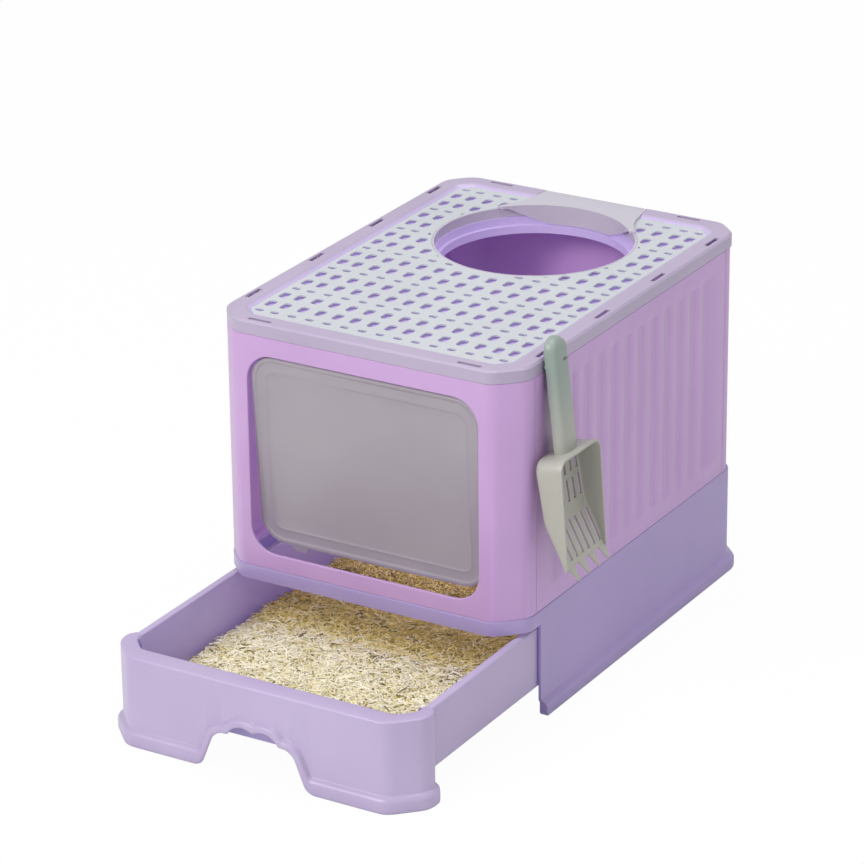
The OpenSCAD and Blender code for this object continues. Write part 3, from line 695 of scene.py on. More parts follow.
@dataclass(frozen=True)
class MouldedPlastic:
    """Coloured plastic from a polished mould, with faint clouds in its colour and gloss.

    Its inner side, which the mesh's 'inside' marks, bears a painted glow: it emits its glow colour
    in place of light that the thin walls let through and that reaches the shaded hollows.
    """

    name: str
    slot: str
    light: str
    dark: str
    # painted glow: the colour that the marked inner side emits
    glow: str = "#000000"
    roughness: float = 0.36
    cloud_scale: float = 9
    sheen_scale: float = 34
    sheen_swing: float = 0.1
    grain_depth: float = 0.03 * MM
    coat: float = 0.25
    coat_roughness: float = 0.22

    def material(self) -> bpy.types.Material:
        """Builds the material.

        Returns:
            The material.
        """
        graph = Graph(self.name)
        clouds = graph.noise(self.cloud_scale, 3)
        sheen = graph.noise(self.sheen_scale, 2)
        grain = graph.noise(MOULD_GRAIN, 2)
        colour = graph.ramp(clouds, [(0.3, self.dark), (0.7, self.light)])
        # painted glow: emission on the inner side that the 'inside' mark picks out
        inside = graph.attribute("inside")
        shader = graph.principled(
            Base_Color=colour, Roughness=self.roughness + (sheen - 0.5) * self.sheen_swing,
            Emission_Color=graph.ramp(inside, [(0.0, "#000000"), (1.0, self.glow)]),
            Emission_Strength=1.0, Coat_Weight=self.coat, Coat_Roughness=self.coat_roughness,
            IOR=PLASTIC_IOR, Normal=graph.bump(grain, self.grain_depth))
        return graph.close(shader.outputs["BSDF"])


@dataclass(frozen=True)
class FadedPlastic:
    """Satin plastic whose colour changes from its foot to its top."""

    name: str
    slot: str
    foot: str
    top: str
    low: float
    high: float
    roughness: float = 0.4
    cloud_scale: float = 20
    cloud_swing: float = 0.1
    grain_depth: float = 0.03 * MM

    def material(self) -> bpy.types.Material:
        """Builds the material.

        Returns:
            The material.
        """
        graph = Graph(self.name)
        parts = graph.node("ShaderNodeSeparateXYZ", {}, {0: graph.place()})
        share = (Value(graph, parts.outputs["Z"]) - self.low) * (1 / (self.high - self.low))
        swing = (graph.noise(self.cloud_scale, 2) - 0.5) * self.cloud_swing
        colour = graph.ramp(share + swing, [(0.0, self.foot), (1.0, self.top)])
        shader = graph.principled(
            Base_Color=colour, Roughness=self.roughness + swing, IOR=PLASTIC_IOR, Coat_Weight=0.1,
            Normal=graph.bump(graph.noise(MOULD_GRAIN, 2), self.grain_depth))
        return graph.close(shader.outputs["BSDF"])


@dataclass(frozen=True)
class FrostedPlastic:
    """Smoky see-through plastic with a frosted face."""

    name: str
    slot: str
    light: str
    dark: str
    alpha: float
    roughness: float = 0.3
    cloud_scale: float = 7
    frost_scale: float = 900
    frost_swing: float = 0.08
    frost_depth: float = 0.02 * MM

    def material(self) -> bpy.types.Material:
        """Builds the material.

        Returns:
            The material.
        """
        graph = Graph(self.name)
        clouds = graph.noise(self.cloud_scale, 2)
        frost = graph.noise(self.frost_scale, 2)
        colour = graph.ramp(clouds, [(0.3, self.dark), (0.7, self.light)])
        shader = graph.principled(
            Base_Color=colour, Roughness=self.roughness + (frost - 0.5) * self.frost_swing,
            IOR=PLASTIC_IOR, Alpha=self.alpha, Coat_Weight=0.4, Coat_Roughness=0.12,
            Normal=graph.bump(frost, self.frost_depth))
        return graph.close(shader.outputs["BSDF"])


@dataclass(frozen=True)
class Pellets:
    """Pressed straw: each pellet has its own tone, with fibres along it."""

    name: str
    slot: str
    fibre_scale: float = 700
    fibre_share: float = 0.14
    fibre_depth: float = 0.2 * MM
    roughness: float = 0.75

    def material(self) -> bpy.types.Material:
        """Builds the material; the pellet's own tone comes from its mesh's 'tone' attribute.

        Returns:
            The material.
        """
        graph = Graph(self.name)
        tone = graph.attribute("tone")
        fibre = graph.noise(self.fibre_scale, 3, 0.6)
        # The low, ochre stops serve the few dark pellets and the painted shade at the tray's back.
        colour = graph.ramp(tone * (1 - self.fibre_share) + fibre * self.fibre_share, [
            (0.0, "#4e4a34"), (0.12, "#8d8052"), (0.36, "#d2be6c"), (0.52, "#dfd192"),
            (0.68, "#ebe3c4"), (1.0, "#fffff4")])
        shader = graph.principled(
            Base_Color=colour, Roughness=self.roughness + (fibre - 0.5) * 0.2,
            Normal=graph.bump(fibre, self.fibre_depth))
        return graph.close(shader.outputs["BSDF"])


class Finishes(Enum):
    """The finishes of the box's pieces."""

    # The fourth colour of each moulded finish is its painted glow, emitted by the marked inner
    # side.
    BASE = MouldedPlastic("base_lavender_shaded", "base_plastic", "#a796c6", "#a290c2", "#2c2254")
    # The base's colours are a darker copy of the drawer's plastic: painted shade for the base's
    # shaded sides.
    DRAWER = MouldedPlastic("drawer_lavender", "base_plastic", "#b7a9cb", "#b2a3c7", "#241e56")
    PANEL = MouldedPlastic("panel_lilac", "panel_plastic", "#c29ed0", "#bd99cc", "#2c2048")
    LID = MouldedPlastic("lid_lilac", "lid_plastic", "#b2a6c0", "#ac9fbb", "#6a5a8c")
    PLATE = MouldedPlastic("plate_white", "plate_plastic", "#c4c8ce", "#bec2c9", roughness=0.42)
    SCOOP = FadedPlastic("scoop_grey", "scoop_plastic", "#aeada4", "#8f9d96", 0.28, 0.375)
    DOOR = FrostedPlastic("door_smoke", "smoke_plastic", "#a7a0a9", "#9f98a2", alpha=0.93)
    RING = FrostedPlastic("ring_smoke", "smoke_plastic", "#d3cfdb", "#cbc6d4", alpha=0.82,
                          roughness=0.22)
    LITTER = Pellets("litter_straw", "litter")


class Dresser:
    """Gives pieces their finish and their body."""

    def __init__(self) -> None:
        """Starts with no material made."""
        self.made: dict[Finishes, bpy.types.Material] = {}

    def dress(self, piece: bpy.types.Object, finish: Finishes, body: str,
              **marks: Callable[[Vector], bool]) -> None:
        """Finishes one piece.

        Args:
            piece: the piece.
            finish: its finish.
            body: the body that it moves with.
            marks: for each mark that the finish reads from the mesh, which places bear it.
        """
        # the 'inside' mark places the moulded finishes' painted glow
        for name, test in marks.items():
            layer = piece.data.attributes.new(name, "FLOAT", "POINT")
            layer.data.foreach_set("value", [float(test(v.co)) for v in piece.data.vertices])
        if finish not in self.made:
            self.made[finish] = finish.value.material()
        piece.data.materials.clear()
        piece.data.materials.append(self.made[finish])
        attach(piece, body)
        LOG.info("%s: %d faces, on %s", piece.name, len(piece.data.polygons), body)


# ---- Sub-assemblies ----------------------------------------------------------------------------


@dataclass(frozen=True)
class Datum:
    """Where the box stands in the frame: the middle of its width, its front face and its size.

    The roof is the height of the lid's lowest point.
    """

    x: float
    y: float
    width: float
    depth: float
    roof: float
    front_cut: float = 28 * MM
    back_cut: float = 24 * MM
    blend: float = 10 * MM

    @classmethod
    def read(cls) -> "Datum":
        """Reads the place from the front and back panels.

        Returns:
            The datum.
        """
        low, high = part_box("front_panel")
        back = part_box("back_panel")[1]
        return cls((low.x + high.x) / 2, low.y, high.x - low.x, back.y - low.y,
                   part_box("lid_frame")[0].z)

    def at(self, x: float, y: float, z: float) -> Vector:
        """The frame's point at x from the middle, y behind the front face and z up."""
        return Vector((self.x + x, self.y + y, z))

    def within(self, place: Vector, skin: float) -> bool:
        """Whether a place lies inside the body's plan.

        Args:
            place: the place.
            skin: its least distance from the plan's edge.

        Returns:
            Whether it lies there.
        """
        side = self.width / 2 - abs(place.x - self.x) - skin
        front = place.y - self.y - skin
        back = self.depth - skin - (place.y - self.y)
        gain = skin * CUT_GAIN
        return (min(side, front, back) > 0 and side + front > self.front_cut - gain
                and side + back > self.back_cut - gain)

    def inside(self, place: Vector) -> bool:
        """Whether a place lies in the cabin or on the inner side of its walls."""
        # the places marked here get the moulded finish's painted glow
        return place.z < self.roof and self.within(place, SKIN)

    def plan(self) -> Plan:
        """The body's outline."""
        return Plan(self.width, self.depth, self.front_cut, self.back_cut, self.blend)


@dataclass
class Base:
    """Moulded base: skirt, side and back walls, the bar over the drawer, deck and runners."""

    datum: Datum
    wall: float = 3 * MM
    step: float = 0.6 * MM
    edge: float = 1.1 * MM
    ledge: float = 14 * MM
    bar: float = 15.5 * MM
    bay: float = 50 * MM
    nose: float = 6 * MM
    flare: float = 0.95
    deck_front: float = 86 * MM
    deck_top: float = 26.5 * MM
    runner_width: float = 6 * MM
    runner_top: float = 29.7 * MM
    runner_x: float = 140 * MM
    runner_start: float = 6 * MM
    runner_end: float = 10 * MM
    runner_edge: float = 0.5 * MM
    foot_edge: float = 0.7 * MM
    heel_set: float = 0.2 * MM
    heel_lap: float = 0.3 * MM
    nose_lines: Sequence[float] = (0.0, 0.35, 0.7, 1.0)

    def __post_init__(self) -> None:
        """Reads the base's height from the frame."""
        self.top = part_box("base_shell")[1].z
        self.roll = skirt_roll()

    def nose_height(self, y: float) -> float:
        """Height of the side wall's foot, which is round at its front end."""
        run = min(max(self.bay + self.nose - y, 0.0), self.nose)
        return self.nose - math.sqrt(self.nose ** 2 - run ** 2)

    def profile(self) -> list[tuple[float, float]]:
        """The outer face of the walls, seen from the side.

        Returns:
            Pairs of height and distance out, from the foot to the top ledge's inner edge.
        """
        rows = [(step.rise, step.out * self.flare + self.step) for step in self.roll]
        rows.append((self.top - self.bar, self.step))
        rows += [(self.top - below, self.step - back) for below, back in quarter(self.edge)]
        rows.append((self.top, self.step - self.ledge))
        return rows

    def walls(self) -> bpy.types.Object:
        """Forms the walls, cuts the drawer's bay out of them and gives them their thickness.

        Returns:
            The walls.
        """
        stations = [self.bay + self.nose * share ** 2 for share in self.nose_lines]
        stations.append(self.datum.depth / 2)
        plan = self.datum.plan()
        lines = []
        for height, out in self.profile():
            lines.append([self.datum.at(p.x, p.y, max(height, self.nose_height(p.y)))
                          for p in plan.loop(out, stations)])
        walls = formed_sheet("base", lines)
        weld(walls)
        bay_end = self.datum.y + self.bay - WELD
        bar_foot = self.top - self.bar - WELD
        pick_faces(walls, lambda face: face.center.y < bay_end and face.center.z < bar_foot)
        with editing(walls):
            bpy.ops.mesh.delete(type="FACE")
        thicken(walls, self.wall, self.foot_edge)
        return walls

    def heel(self, side: int) -> bpy.types.Object:
        """Closes the skirt's front end with a face that is rounded at its foot.

        Args:
            side: 1 for the right one, -1 for the left one.

        Returns:
            The closing face, with the wall's thickness.
        """
        skirt = [(step.rise, step.out * self.flare + self.step) for step in self.roll]
        path = [(back, rise) for rise, back in quarter(self.nose, 5)[::-1]]
        path += [(0.0, rise) for rise, _ in skirt if rise > self.nose]
        lines = []
        for back, rise in path:
            y = self.bay + self.heel_set + back
            outer = float(np.interp(rise, *zip(*skirt))) - self.heel_lap
            line = [self.datum.at(side * (self.datum.width / 2 + out), y, rise)
                    for out in (self.step - self.wall / 2, outer)]
            lines.append(line if side > 0 else line[::-1])
        heel = formed_sheet("heel", lines)
        thicken(heel, self.wall)
        return heel

    def deck(self) -> list[bpy.types.Object]:
        """Lays the deck and its three runners.

        Returns:
            The deck and the runners.
        """
        out = self.step - self.wall
        side = self.datum.width / 2 + out
        corners = self.datum.plan().corners(out)
        rows = [(self.deck_front, side), (corners[4].y, side), (corners[5].y, corners[5].x)]
        lines = [[self.datum.at(half * share, y, self.deck_top) for share in (-1, 0, 1)]
                 for y, half in rows]
        deck = formed_sheet("deck", lines)
        thicken(deck, self.wall)
        start = self.deck_front + self.runner_start
        end = self.datum.depth - self.runner_end
        half = self.runner_width / 2
        runners = [bar("runner", self.datum.at(x - half, start, self.deck_top - WELD),
                       self.datum.at(x + half, end, self.runner_top), self.runner_edge)
                   for x in (-self.runner_x, 0.0, self.runner_x)]
        return [deck] + runners

    def build(self, dresser: Dresser) -> None:
        """Builds the base and dresses it.

        Args:
            dresser: gives the pieces their finish and their body.
        """
        base = join([self.walls(), self.heel(-1), self.heel(1)] + self.deck(), "base")
        smooth(base)
        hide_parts("base_shell")
        dresser.dress(base, Finishes.BASE, "box", inside=self.datum.inside)


@dataclass
class Walls:
    """The four clipped panels, each a skin with edges that turn inwards all round."""

    datum: Datum
    wall: float = 2.5 * MM
    flange: float = 12 * MM
    edge: float = 0.8 * MM
    seam: float = 42 * MM
    seam_gap: float = 0.5 * MM
    groove_pitch: float = 28.9 * MM
    groove_depth: float = 0.9 * MM
    groove_half: float = 3.4 * MM
    groove_margin: float = 20 * MM
    door_width: float = 270 * MM
    door_height: float = 218 * MM
    door_radius: float = 29 * MM
    sill: float = 17.5 * MM
    rim: float = 1.1 * MM
    clip_length: float = 24 * MM
    clip_height: float = 9 * MM
    clip_wall: float = 2.4 * MM
    clip_inset: float = 7.5 * MM
    side_clips: Sequence[float] = (70 * MM, 190.5 * MM, 311 * MM, 431.5 * MM)
    front_clip: float = 122 * MM
    back_clip: float = 115 * MM
    pin_y: float = 12.4 * MM
    pin_drop: float = 4 * MM
    boss_radius: float = 4.2 * MM
    boss_width: float = 7 * MM
    boss_x: float = 120 * MM
    arm_height: float = 12 * MM
    arm_rise: float = 1 * MM
    arm_edge: float = 0.6 * MM
    web_lap: float = 2 * MM
    wall_edge: float = 0.3 * MM
    clip_edge: float = 0.5 * MM
    run_out: float = 3 * MM
    groove_lines: Sequence[float] = (-1, -0.8, -0.5, -0.2, 0.2, 0.5, 0.8, 1)

    def __post_init__(self) -> None:
        """Reads the panels' heights from the frame."""
        self.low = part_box("base_shell")[1].z
        self.clip_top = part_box("left_panel")[1].z
        self.high = self.clip_top - self.clip_height
        self.sill_z = self.low + self.sill

    def turned_edge(self) -> list[tuple[float, float]]:
        """Edge that turns in: pairs of distance along the face and depth behind it."""
        return [(0.0, self.flange)] + [(back, below) for below, back in quarter(self.edge)]

    def heights(self, extra: Sequence[float]) -> list[tuple[float, float]]:
        """Lines up a panel.

        Args:
            extra: extra heights on its flat face.

        Returns:
            Pairs of height and depth, from the foot up.
        """
        rows = [(self.low + along, depth) for along, depth in self.turned_edge()]
        rows += [(z, 0.0) for z in extra]
        return rows + [(self.high - along, depth) for along, depth in reversed(self.turned_edge())]

    def groove(self, y: float, z: float) -> float:
        """Depth of the grooves at a place on a side panel.

        Args:
            y: the place, behind the front face.
            z: its height.

        Returns:
            The depth, which is 0 between the grooves.
        """
        from_middle = y - self.datum.depth / 2
        nearest = round(from_middle / self.groove_pitch - 0.5) + 0.5
        offset = abs(from_middle - nearest * self.groove_pitch)
        if offset >= self.groove_half or abs(nearest) > self.groove_count() / 2:
            return 0.0
        end = min(z - self.low, self.high - z) - self.groove_margin
        along = min(max(end / self.run_out, 0.0), 1.0)
        across = math.cos(math.pi / 2 * (offset / self.groove_half) ** 2)
        return self.groove_depth * across * math.sin(math.pi / 2 * along)

    def groove_count(self) -> int:
        """How many grooves a side panel has."""
        run = self.datum.depth - 2 * self.seam
        return 2 * int((run / self.groove_pitch - 1) / 2)

    def side_panel(self, side: int) -> bpy.types.Object:
        """Forms a side panel.

        Args:
            side: 1 for the right one, -1 for the left one.

        Returns:
            The panel.
        """
        start = self.seam + self.seam_gap / 2
        end = self.datum.depth - start
        count = self.groove_count()
        columns = [(start + along, depth) for along, depth in self.turned_edge()]
        for i in range(count):
            middle = self.datum.depth / 2 + (i - (count - 1) / 2) * self.groove_pitch
            columns += [(middle + self.groove_half * share, 0.0) for share in self.groove_lines]
        columns += [(end - along, depth) for along, depth in reversed(self.turned_edge())]
        if side < 0:
            columns.reverse()
        margins = [self.groove_margin + self.run_out * step / 3 for step in range(4)]
        rows = self.heights([self.low + margin for margin in margins]
                            + [self.high - margin for margin in reversed(margins)])
        lines = []
        for z, row_depth in rows:
            line = []
            for y, column_depth in columns:
                depth = min(row_depth + column_depth, self.flange) + self.groove(y, z)
                line.append(self.datum.at(side * (self.datum.width / 2 - depth), y, z))
            lines.append(line)
        name = "right" if side > 0 else "left"
        panel = formed_sheet(f"{name}_wall", lines)
        thicken(panel, self.wall, self.wall_edge)
        clips = [self.clip(side * (self.datum.width / 2 - self.clip_inset), y, False)
                 for y in self.side_clips]
        return join([panel] + clips, f"{name}_wall")

    def clip(self, x: float, y: float, across: bool) -> bpy.types.Object:
        """Adds the tongue that clips a panel to the lid.

        Args:
            x: its place across the box.
            y: its place behind the front face.
            across: whether it runs across the box.

        Returns:
            The tongue.
        """
        half = Vector((self.clip_length / 2, self.clip_wall / 2, 0))
        if not across:
            half = Vector((half.y, half.x, 0))
        low = self.datum.at(x, y, self.high - self.wall) - half
        high = self.datum.at(x, y, self.clip_top) + half
        return bar("clip", low, high, self.clip_edge)

    def wrap(self, name: str, turned: bool) -> bpy.types.Object:
        """Forms the panel that wraps both corners of one end.

        Args:
            name: the panel's name.
            turned: whether it is the back panel, turned half round.

        Returns:
            The panel, without its clips.
        """
        plan = self.datum.plan()
        end = self.seam - self.seam_gap / 2
        ends = [(end - along, depth) for along, depth in self.turned_edge()]
        lines = []
        for z, row_depth in self.heights(()):
            line = []
            for y, depth in ends:
                side = self.datum.width / 2 - min(row_depth + depth, self.flange)
                line.append(Vector((-side, y)))
            last = end - 2 * self.edge
            core = [Vector((p.x, min(p.y, last))) for p in plan.path(-row_depth, 0, 3)]
            line += core + [Vector((-p.x, p.y)) for p in reversed(line)]
            if turned:
                line = [Vector((-p.x, self.datum.depth - p.y)) for p in line]
            lines.append([self.datum.at(p.x, p.y, z) for p in line])
        panel = formed_sheet(name, lines)
        weld(panel)
        thicken(panel, self.wall, self.wall_edge)
        return panel

    def doorway(self, panel: bpy.types.Object) -> bpy.types.Object:
        """Cuts the doorway and lines it with a rounded edge.

        Args:
            panel: the front panel.

        Returns:
            The edge's lining.
        """
        def ring(inset: float, y: float) -> list[Vector]:
            """Points round the doorway, inset from its edge, y behind the front face."""
            points = rounded_rectangle(self.door_width, self.door_height, self.door_radius, inset)
            return [self.datum.at(p.x, y, self.sill_z + p.y) for p in points]

        through = Vector((0, 3 * self.wall, 0))
        carve(panel, [prism("cutter", ring(-self.rim, -self.wall)[:-1], through)])
        lines = [ring(-back, below) for below, back in reversed(quarter(self.rim, 4))]
        lines.append(ring(0.0, self.wall))
        lines.append(ring(-self.rim, self.wall))
        lining = formed_sheet("doorway_edge", lines)
        weld(lining)
        return lining

    def boss(self, side: int) -> list[bpy.types.Object]:
        """Adds the boss that holds one hinge pin, on its arm over the doorway.

        Args:
            side: 1 for the right one, -1 for the left one.

        Returns:
            The arm, the web below it and the eye round the pin.
        """
        x = self.boss_x if side > 0 else -self.boss_x - self.boss_width
        end = x + self.boss_width
        back = self.pin_y + self.boss_radius
        top = self.sill_z + self.door_height
        pin_z = top - self.pin_drop
        arm_foot = top + self.arm_rise
        arm = bar("arm", self.datum.at(x, self.wall - WELD, arm_foot),
                  self.datum.at(end, back, arm_foot + self.arm_height), self.arm_edge)
        web = bar("web", self.datum.at(x, self.pin_y - self.boss_radius, pin_z),
                  self.datum.at(end, back, top + self.web_lap), 0)
        eye = rod("eye", self.datum.at(x, self.pin_y, pin_z), self.boss_width, self.boss_radius)
        return [arm, web, eye]

    def build(self, dresser: Dresser) -> None:
        """Builds the four panels and dresses them.

        Args:
            dresser: gives the pieces their finish and their body.
        """
        front = self.wrap("front_wall", False)
        lining = self.doorway(front)
        clips = [self.clip(side * self.front_clip, self.clip_inset, True) for side in (-1, 1)]
        front = join([front, lining] + clips + self.boss(-1) + self.boss(1), "front_wall")
        back = self.wrap("back_wall", True)
        clips = [self.clip(side * self.back_clip, self.datum.depth - self.clip_inset, True)
                 for side in (-1, 1)]
        back = join([back] + clips, "back_wall")
        left, right = self.side_panel(-1), self.side_panel(1)
        for panel, node in ((front, "front_panel"), (back, "back_panel"),
                            (left, "left_panel"), (right, "right_panel")):
            smooth(panel)
            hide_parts(node)
            dresser.dress(panel, Finishes.PANEL, "box", inside=self.datum.inside)


@dataclass
class Lid:
    """Lid with its perforated plate, its entry ring and the scoop's hook."""

    datum: Datum
    edge: float = 0.8 * MM
    ring_edge: float = 0.6 * MM
    thin_edge: float = 0.4 * MM
    rim: float = 12 * MM
    floor_drop: float = 2.5 * MM

    def __post_init__(self) -> None:
        """Reads the lid's height from the frame."""
        self.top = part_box("lid_frame")[1].z

    def painted_glow_under_plate(self, place: Vector) -> bool:
        """Whether a place lies under the plate, where the lid's tray floor gets a painted glow."""
        return place.z < self.top - self.floor_drop and self.datum.within(place, self.rim)

    def build(self, dresser: Dresser) -> None:
        """Softens the lid's mouldings and dresses them.

        Args:
            dresser: gives the pieces their finish and their body.
        """
        lid = moulding("lid_frame", "lid", self.edge)
        dresser.dress(lid, Finishes.LID, "lid", inside=self.painted_glow_under_plate)
        plate = moulding("perforated_plate", "top_plate", self.thin_edge, 2)
        dresser.dress(plate, Finishes.PLATE, "plate")
        ring = moulding("entry_ring", "ring", self.ring_edge)
        dresser.dress(ring, Finishes.RING, "ring")
        hook = moulding("scoop_hook", "hook", self.thin_edge, 2)
        dresser.dress(hook, Finishes.SCOOP, "lid")


@dataclass
class FlapDoor:
    """Flap with a rolled rim, a raised line inside it, a stop tab, two ears and its pins."""

    datum: Datum
    width: float = 266.8 * MM
    height: float = 211.4 * MM
    radius: float = 27.4 * MM
    set_back: float = 3.4 * MM
    top: float = 352.4 * MM
    tilt: float = math.radians(4.1)
    stop_x: float = 88 * MM
    stop_half: float = 11 * MM
    stop_slope: float = 4 * MM
    stop_drop: float = 6.5 * MM
    ear_x: float = 111 * MM
    ear_width: float = 6 * MM
    ear_radius: float = 4.2 * MM
    ear_drop: float = 14 * MM
    ear_root: float = 2.8 * MM
    pin_y: float = 12.4 * MM
    pin_edge: float = 0.4 * MM
    panel_set: float = 1.2 * MM
    tab_wall: float = 1.9 * MM
    tab_edge: float = 0.5 * MM

    def __post_init__(self) -> None:
        """Reads the pins' height from the frame."""
        low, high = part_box("door_pins")
        self.pin_z = (low.z + high.z) / 2

    def hung(self, x: float, depth: float, height: float) -> Vector:
        """The frame's point of a place on the flap.

        Args:
            x: the place, from the flap's middle.
            depth: its distance behind the flap's face.
            height: its height over the flap's foot.

        Returns:
            The point, with the flap at its tilt.
        """
        drop = height - self.height
        y = depth * math.cos(self.tilt) - drop * math.sin(self.tilt)
        z = depth * math.sin(self.tilt) + drop * math.cos(self.tilt)
        return self.datum.at(x, self.set_back + y, self.top + z)

    def ring(self, inset: float, depth: float) -> list[Vector]:
        """Points round the flap, inset from its edge and depth behind its face, both in mm."""
        points = rounded_rectangle(self.width, self.height, self.radius, inset * MM)
        return [self.hung(p.x, depth * MM, p.y) for p in points]

    def flap(self) -> bpy.types.Object:
        """Forms the flap from its back over its rim to its face.

        Each pair is a line round the flap: its inset from the edge and its depth behind the face,
        both in mm.

        Returns:
            The flap, without its ears.
        """
        back = [(30.0, 3.2), (0.7, 3.2), (0.2, 3.0), (0.0, 2.5)]
        rim = [(0.0, 0.9), (0.25, 0.3), (0.9, 0.0), (3.6, 0.0), (4.4, 0.12), (5.1, 0.55),
               (5.9, 1.05), (6.8, 1.2)]
        line = [(14.2, 1.2), (15.0, 1.02), (15.8, 0.68), (16.6, 0.56), (17.4, 0.68), (18.2, 1.02),
                (19.0, 1.2), (30.0, 1.2)]
        flap = formed_sheet("flap", [self.ring(inset, depth) for inset, depth in back + rim + line])
        weld(flap, close=True)
        return flap

    def tab(self) -> bpy.types.Object:
        """Adds the stop tab under the flap's foot.

        Returns:
            The tab.
        """
        foot_half = self.stop_half - self.stop_slope
        outline = [self.hung(x - self.stop_x, self.panel_set, z) for x, z in (
            (-self.stop_half, MM), (-foot_half, -self.stop_drop),
            (foot_half, -self.stop_drop), (self.stop_half, MM))]
        tab = prism("tab", outline, Vector((0, self.tab_wall, 0)))
        finish_with(tab, "BEVEL", width=self.tab_edge, segments=2, limit_method="ANGLE")
        return tab

    def ear(self, side: int) -> list[bpy.types.Object]:
        """Adds an ear that holds the flap on its pin.

        Args:
            side: 1 for the right one, -1 for the left one.

        Returns:
            The ear's web and its eye round the pin.
        """
        x = self.ear_x if side > 0 else -self.ear_x - self.ear_width
        root = self.set_back + self.ear_root
        outline = [self.datum.at(x, y, self.pin_z + z) for y, z in (
            (root, MM), (self.pin_y, self.ear_radius), (self.pin_y, -self.ear_radius),
            (root, -self.ear_drop))]
        web = prism("web", outline, Vector((self.ear_width, 0, 0)))
        eye = rod("eye", self.datum.at(x, self.pin_y, self.pin_z), self.ear_width, self.ear_radius)
        return [web, eye]

    def build(self, dresser: Dresser) -> None:
        """Builds the flap and its pins and dresses them.

        Args:
            dresser: gives the pieces their finish and their body.
        """
        pieces = [self.flap(), self.tab()] + self.ear(-1) + self.ear(1)
        flap = join(pieces, "flap")
        smooth(flap)
        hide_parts("front_door")
        dresser.dress(flap, Finishes.DOOR, "door")
        pins = moulding("door_pins", "flap_pins", self.pin_edge, 2, math.radians(40))
        dresser.dress(pins, Finishes.DOOR, "door")


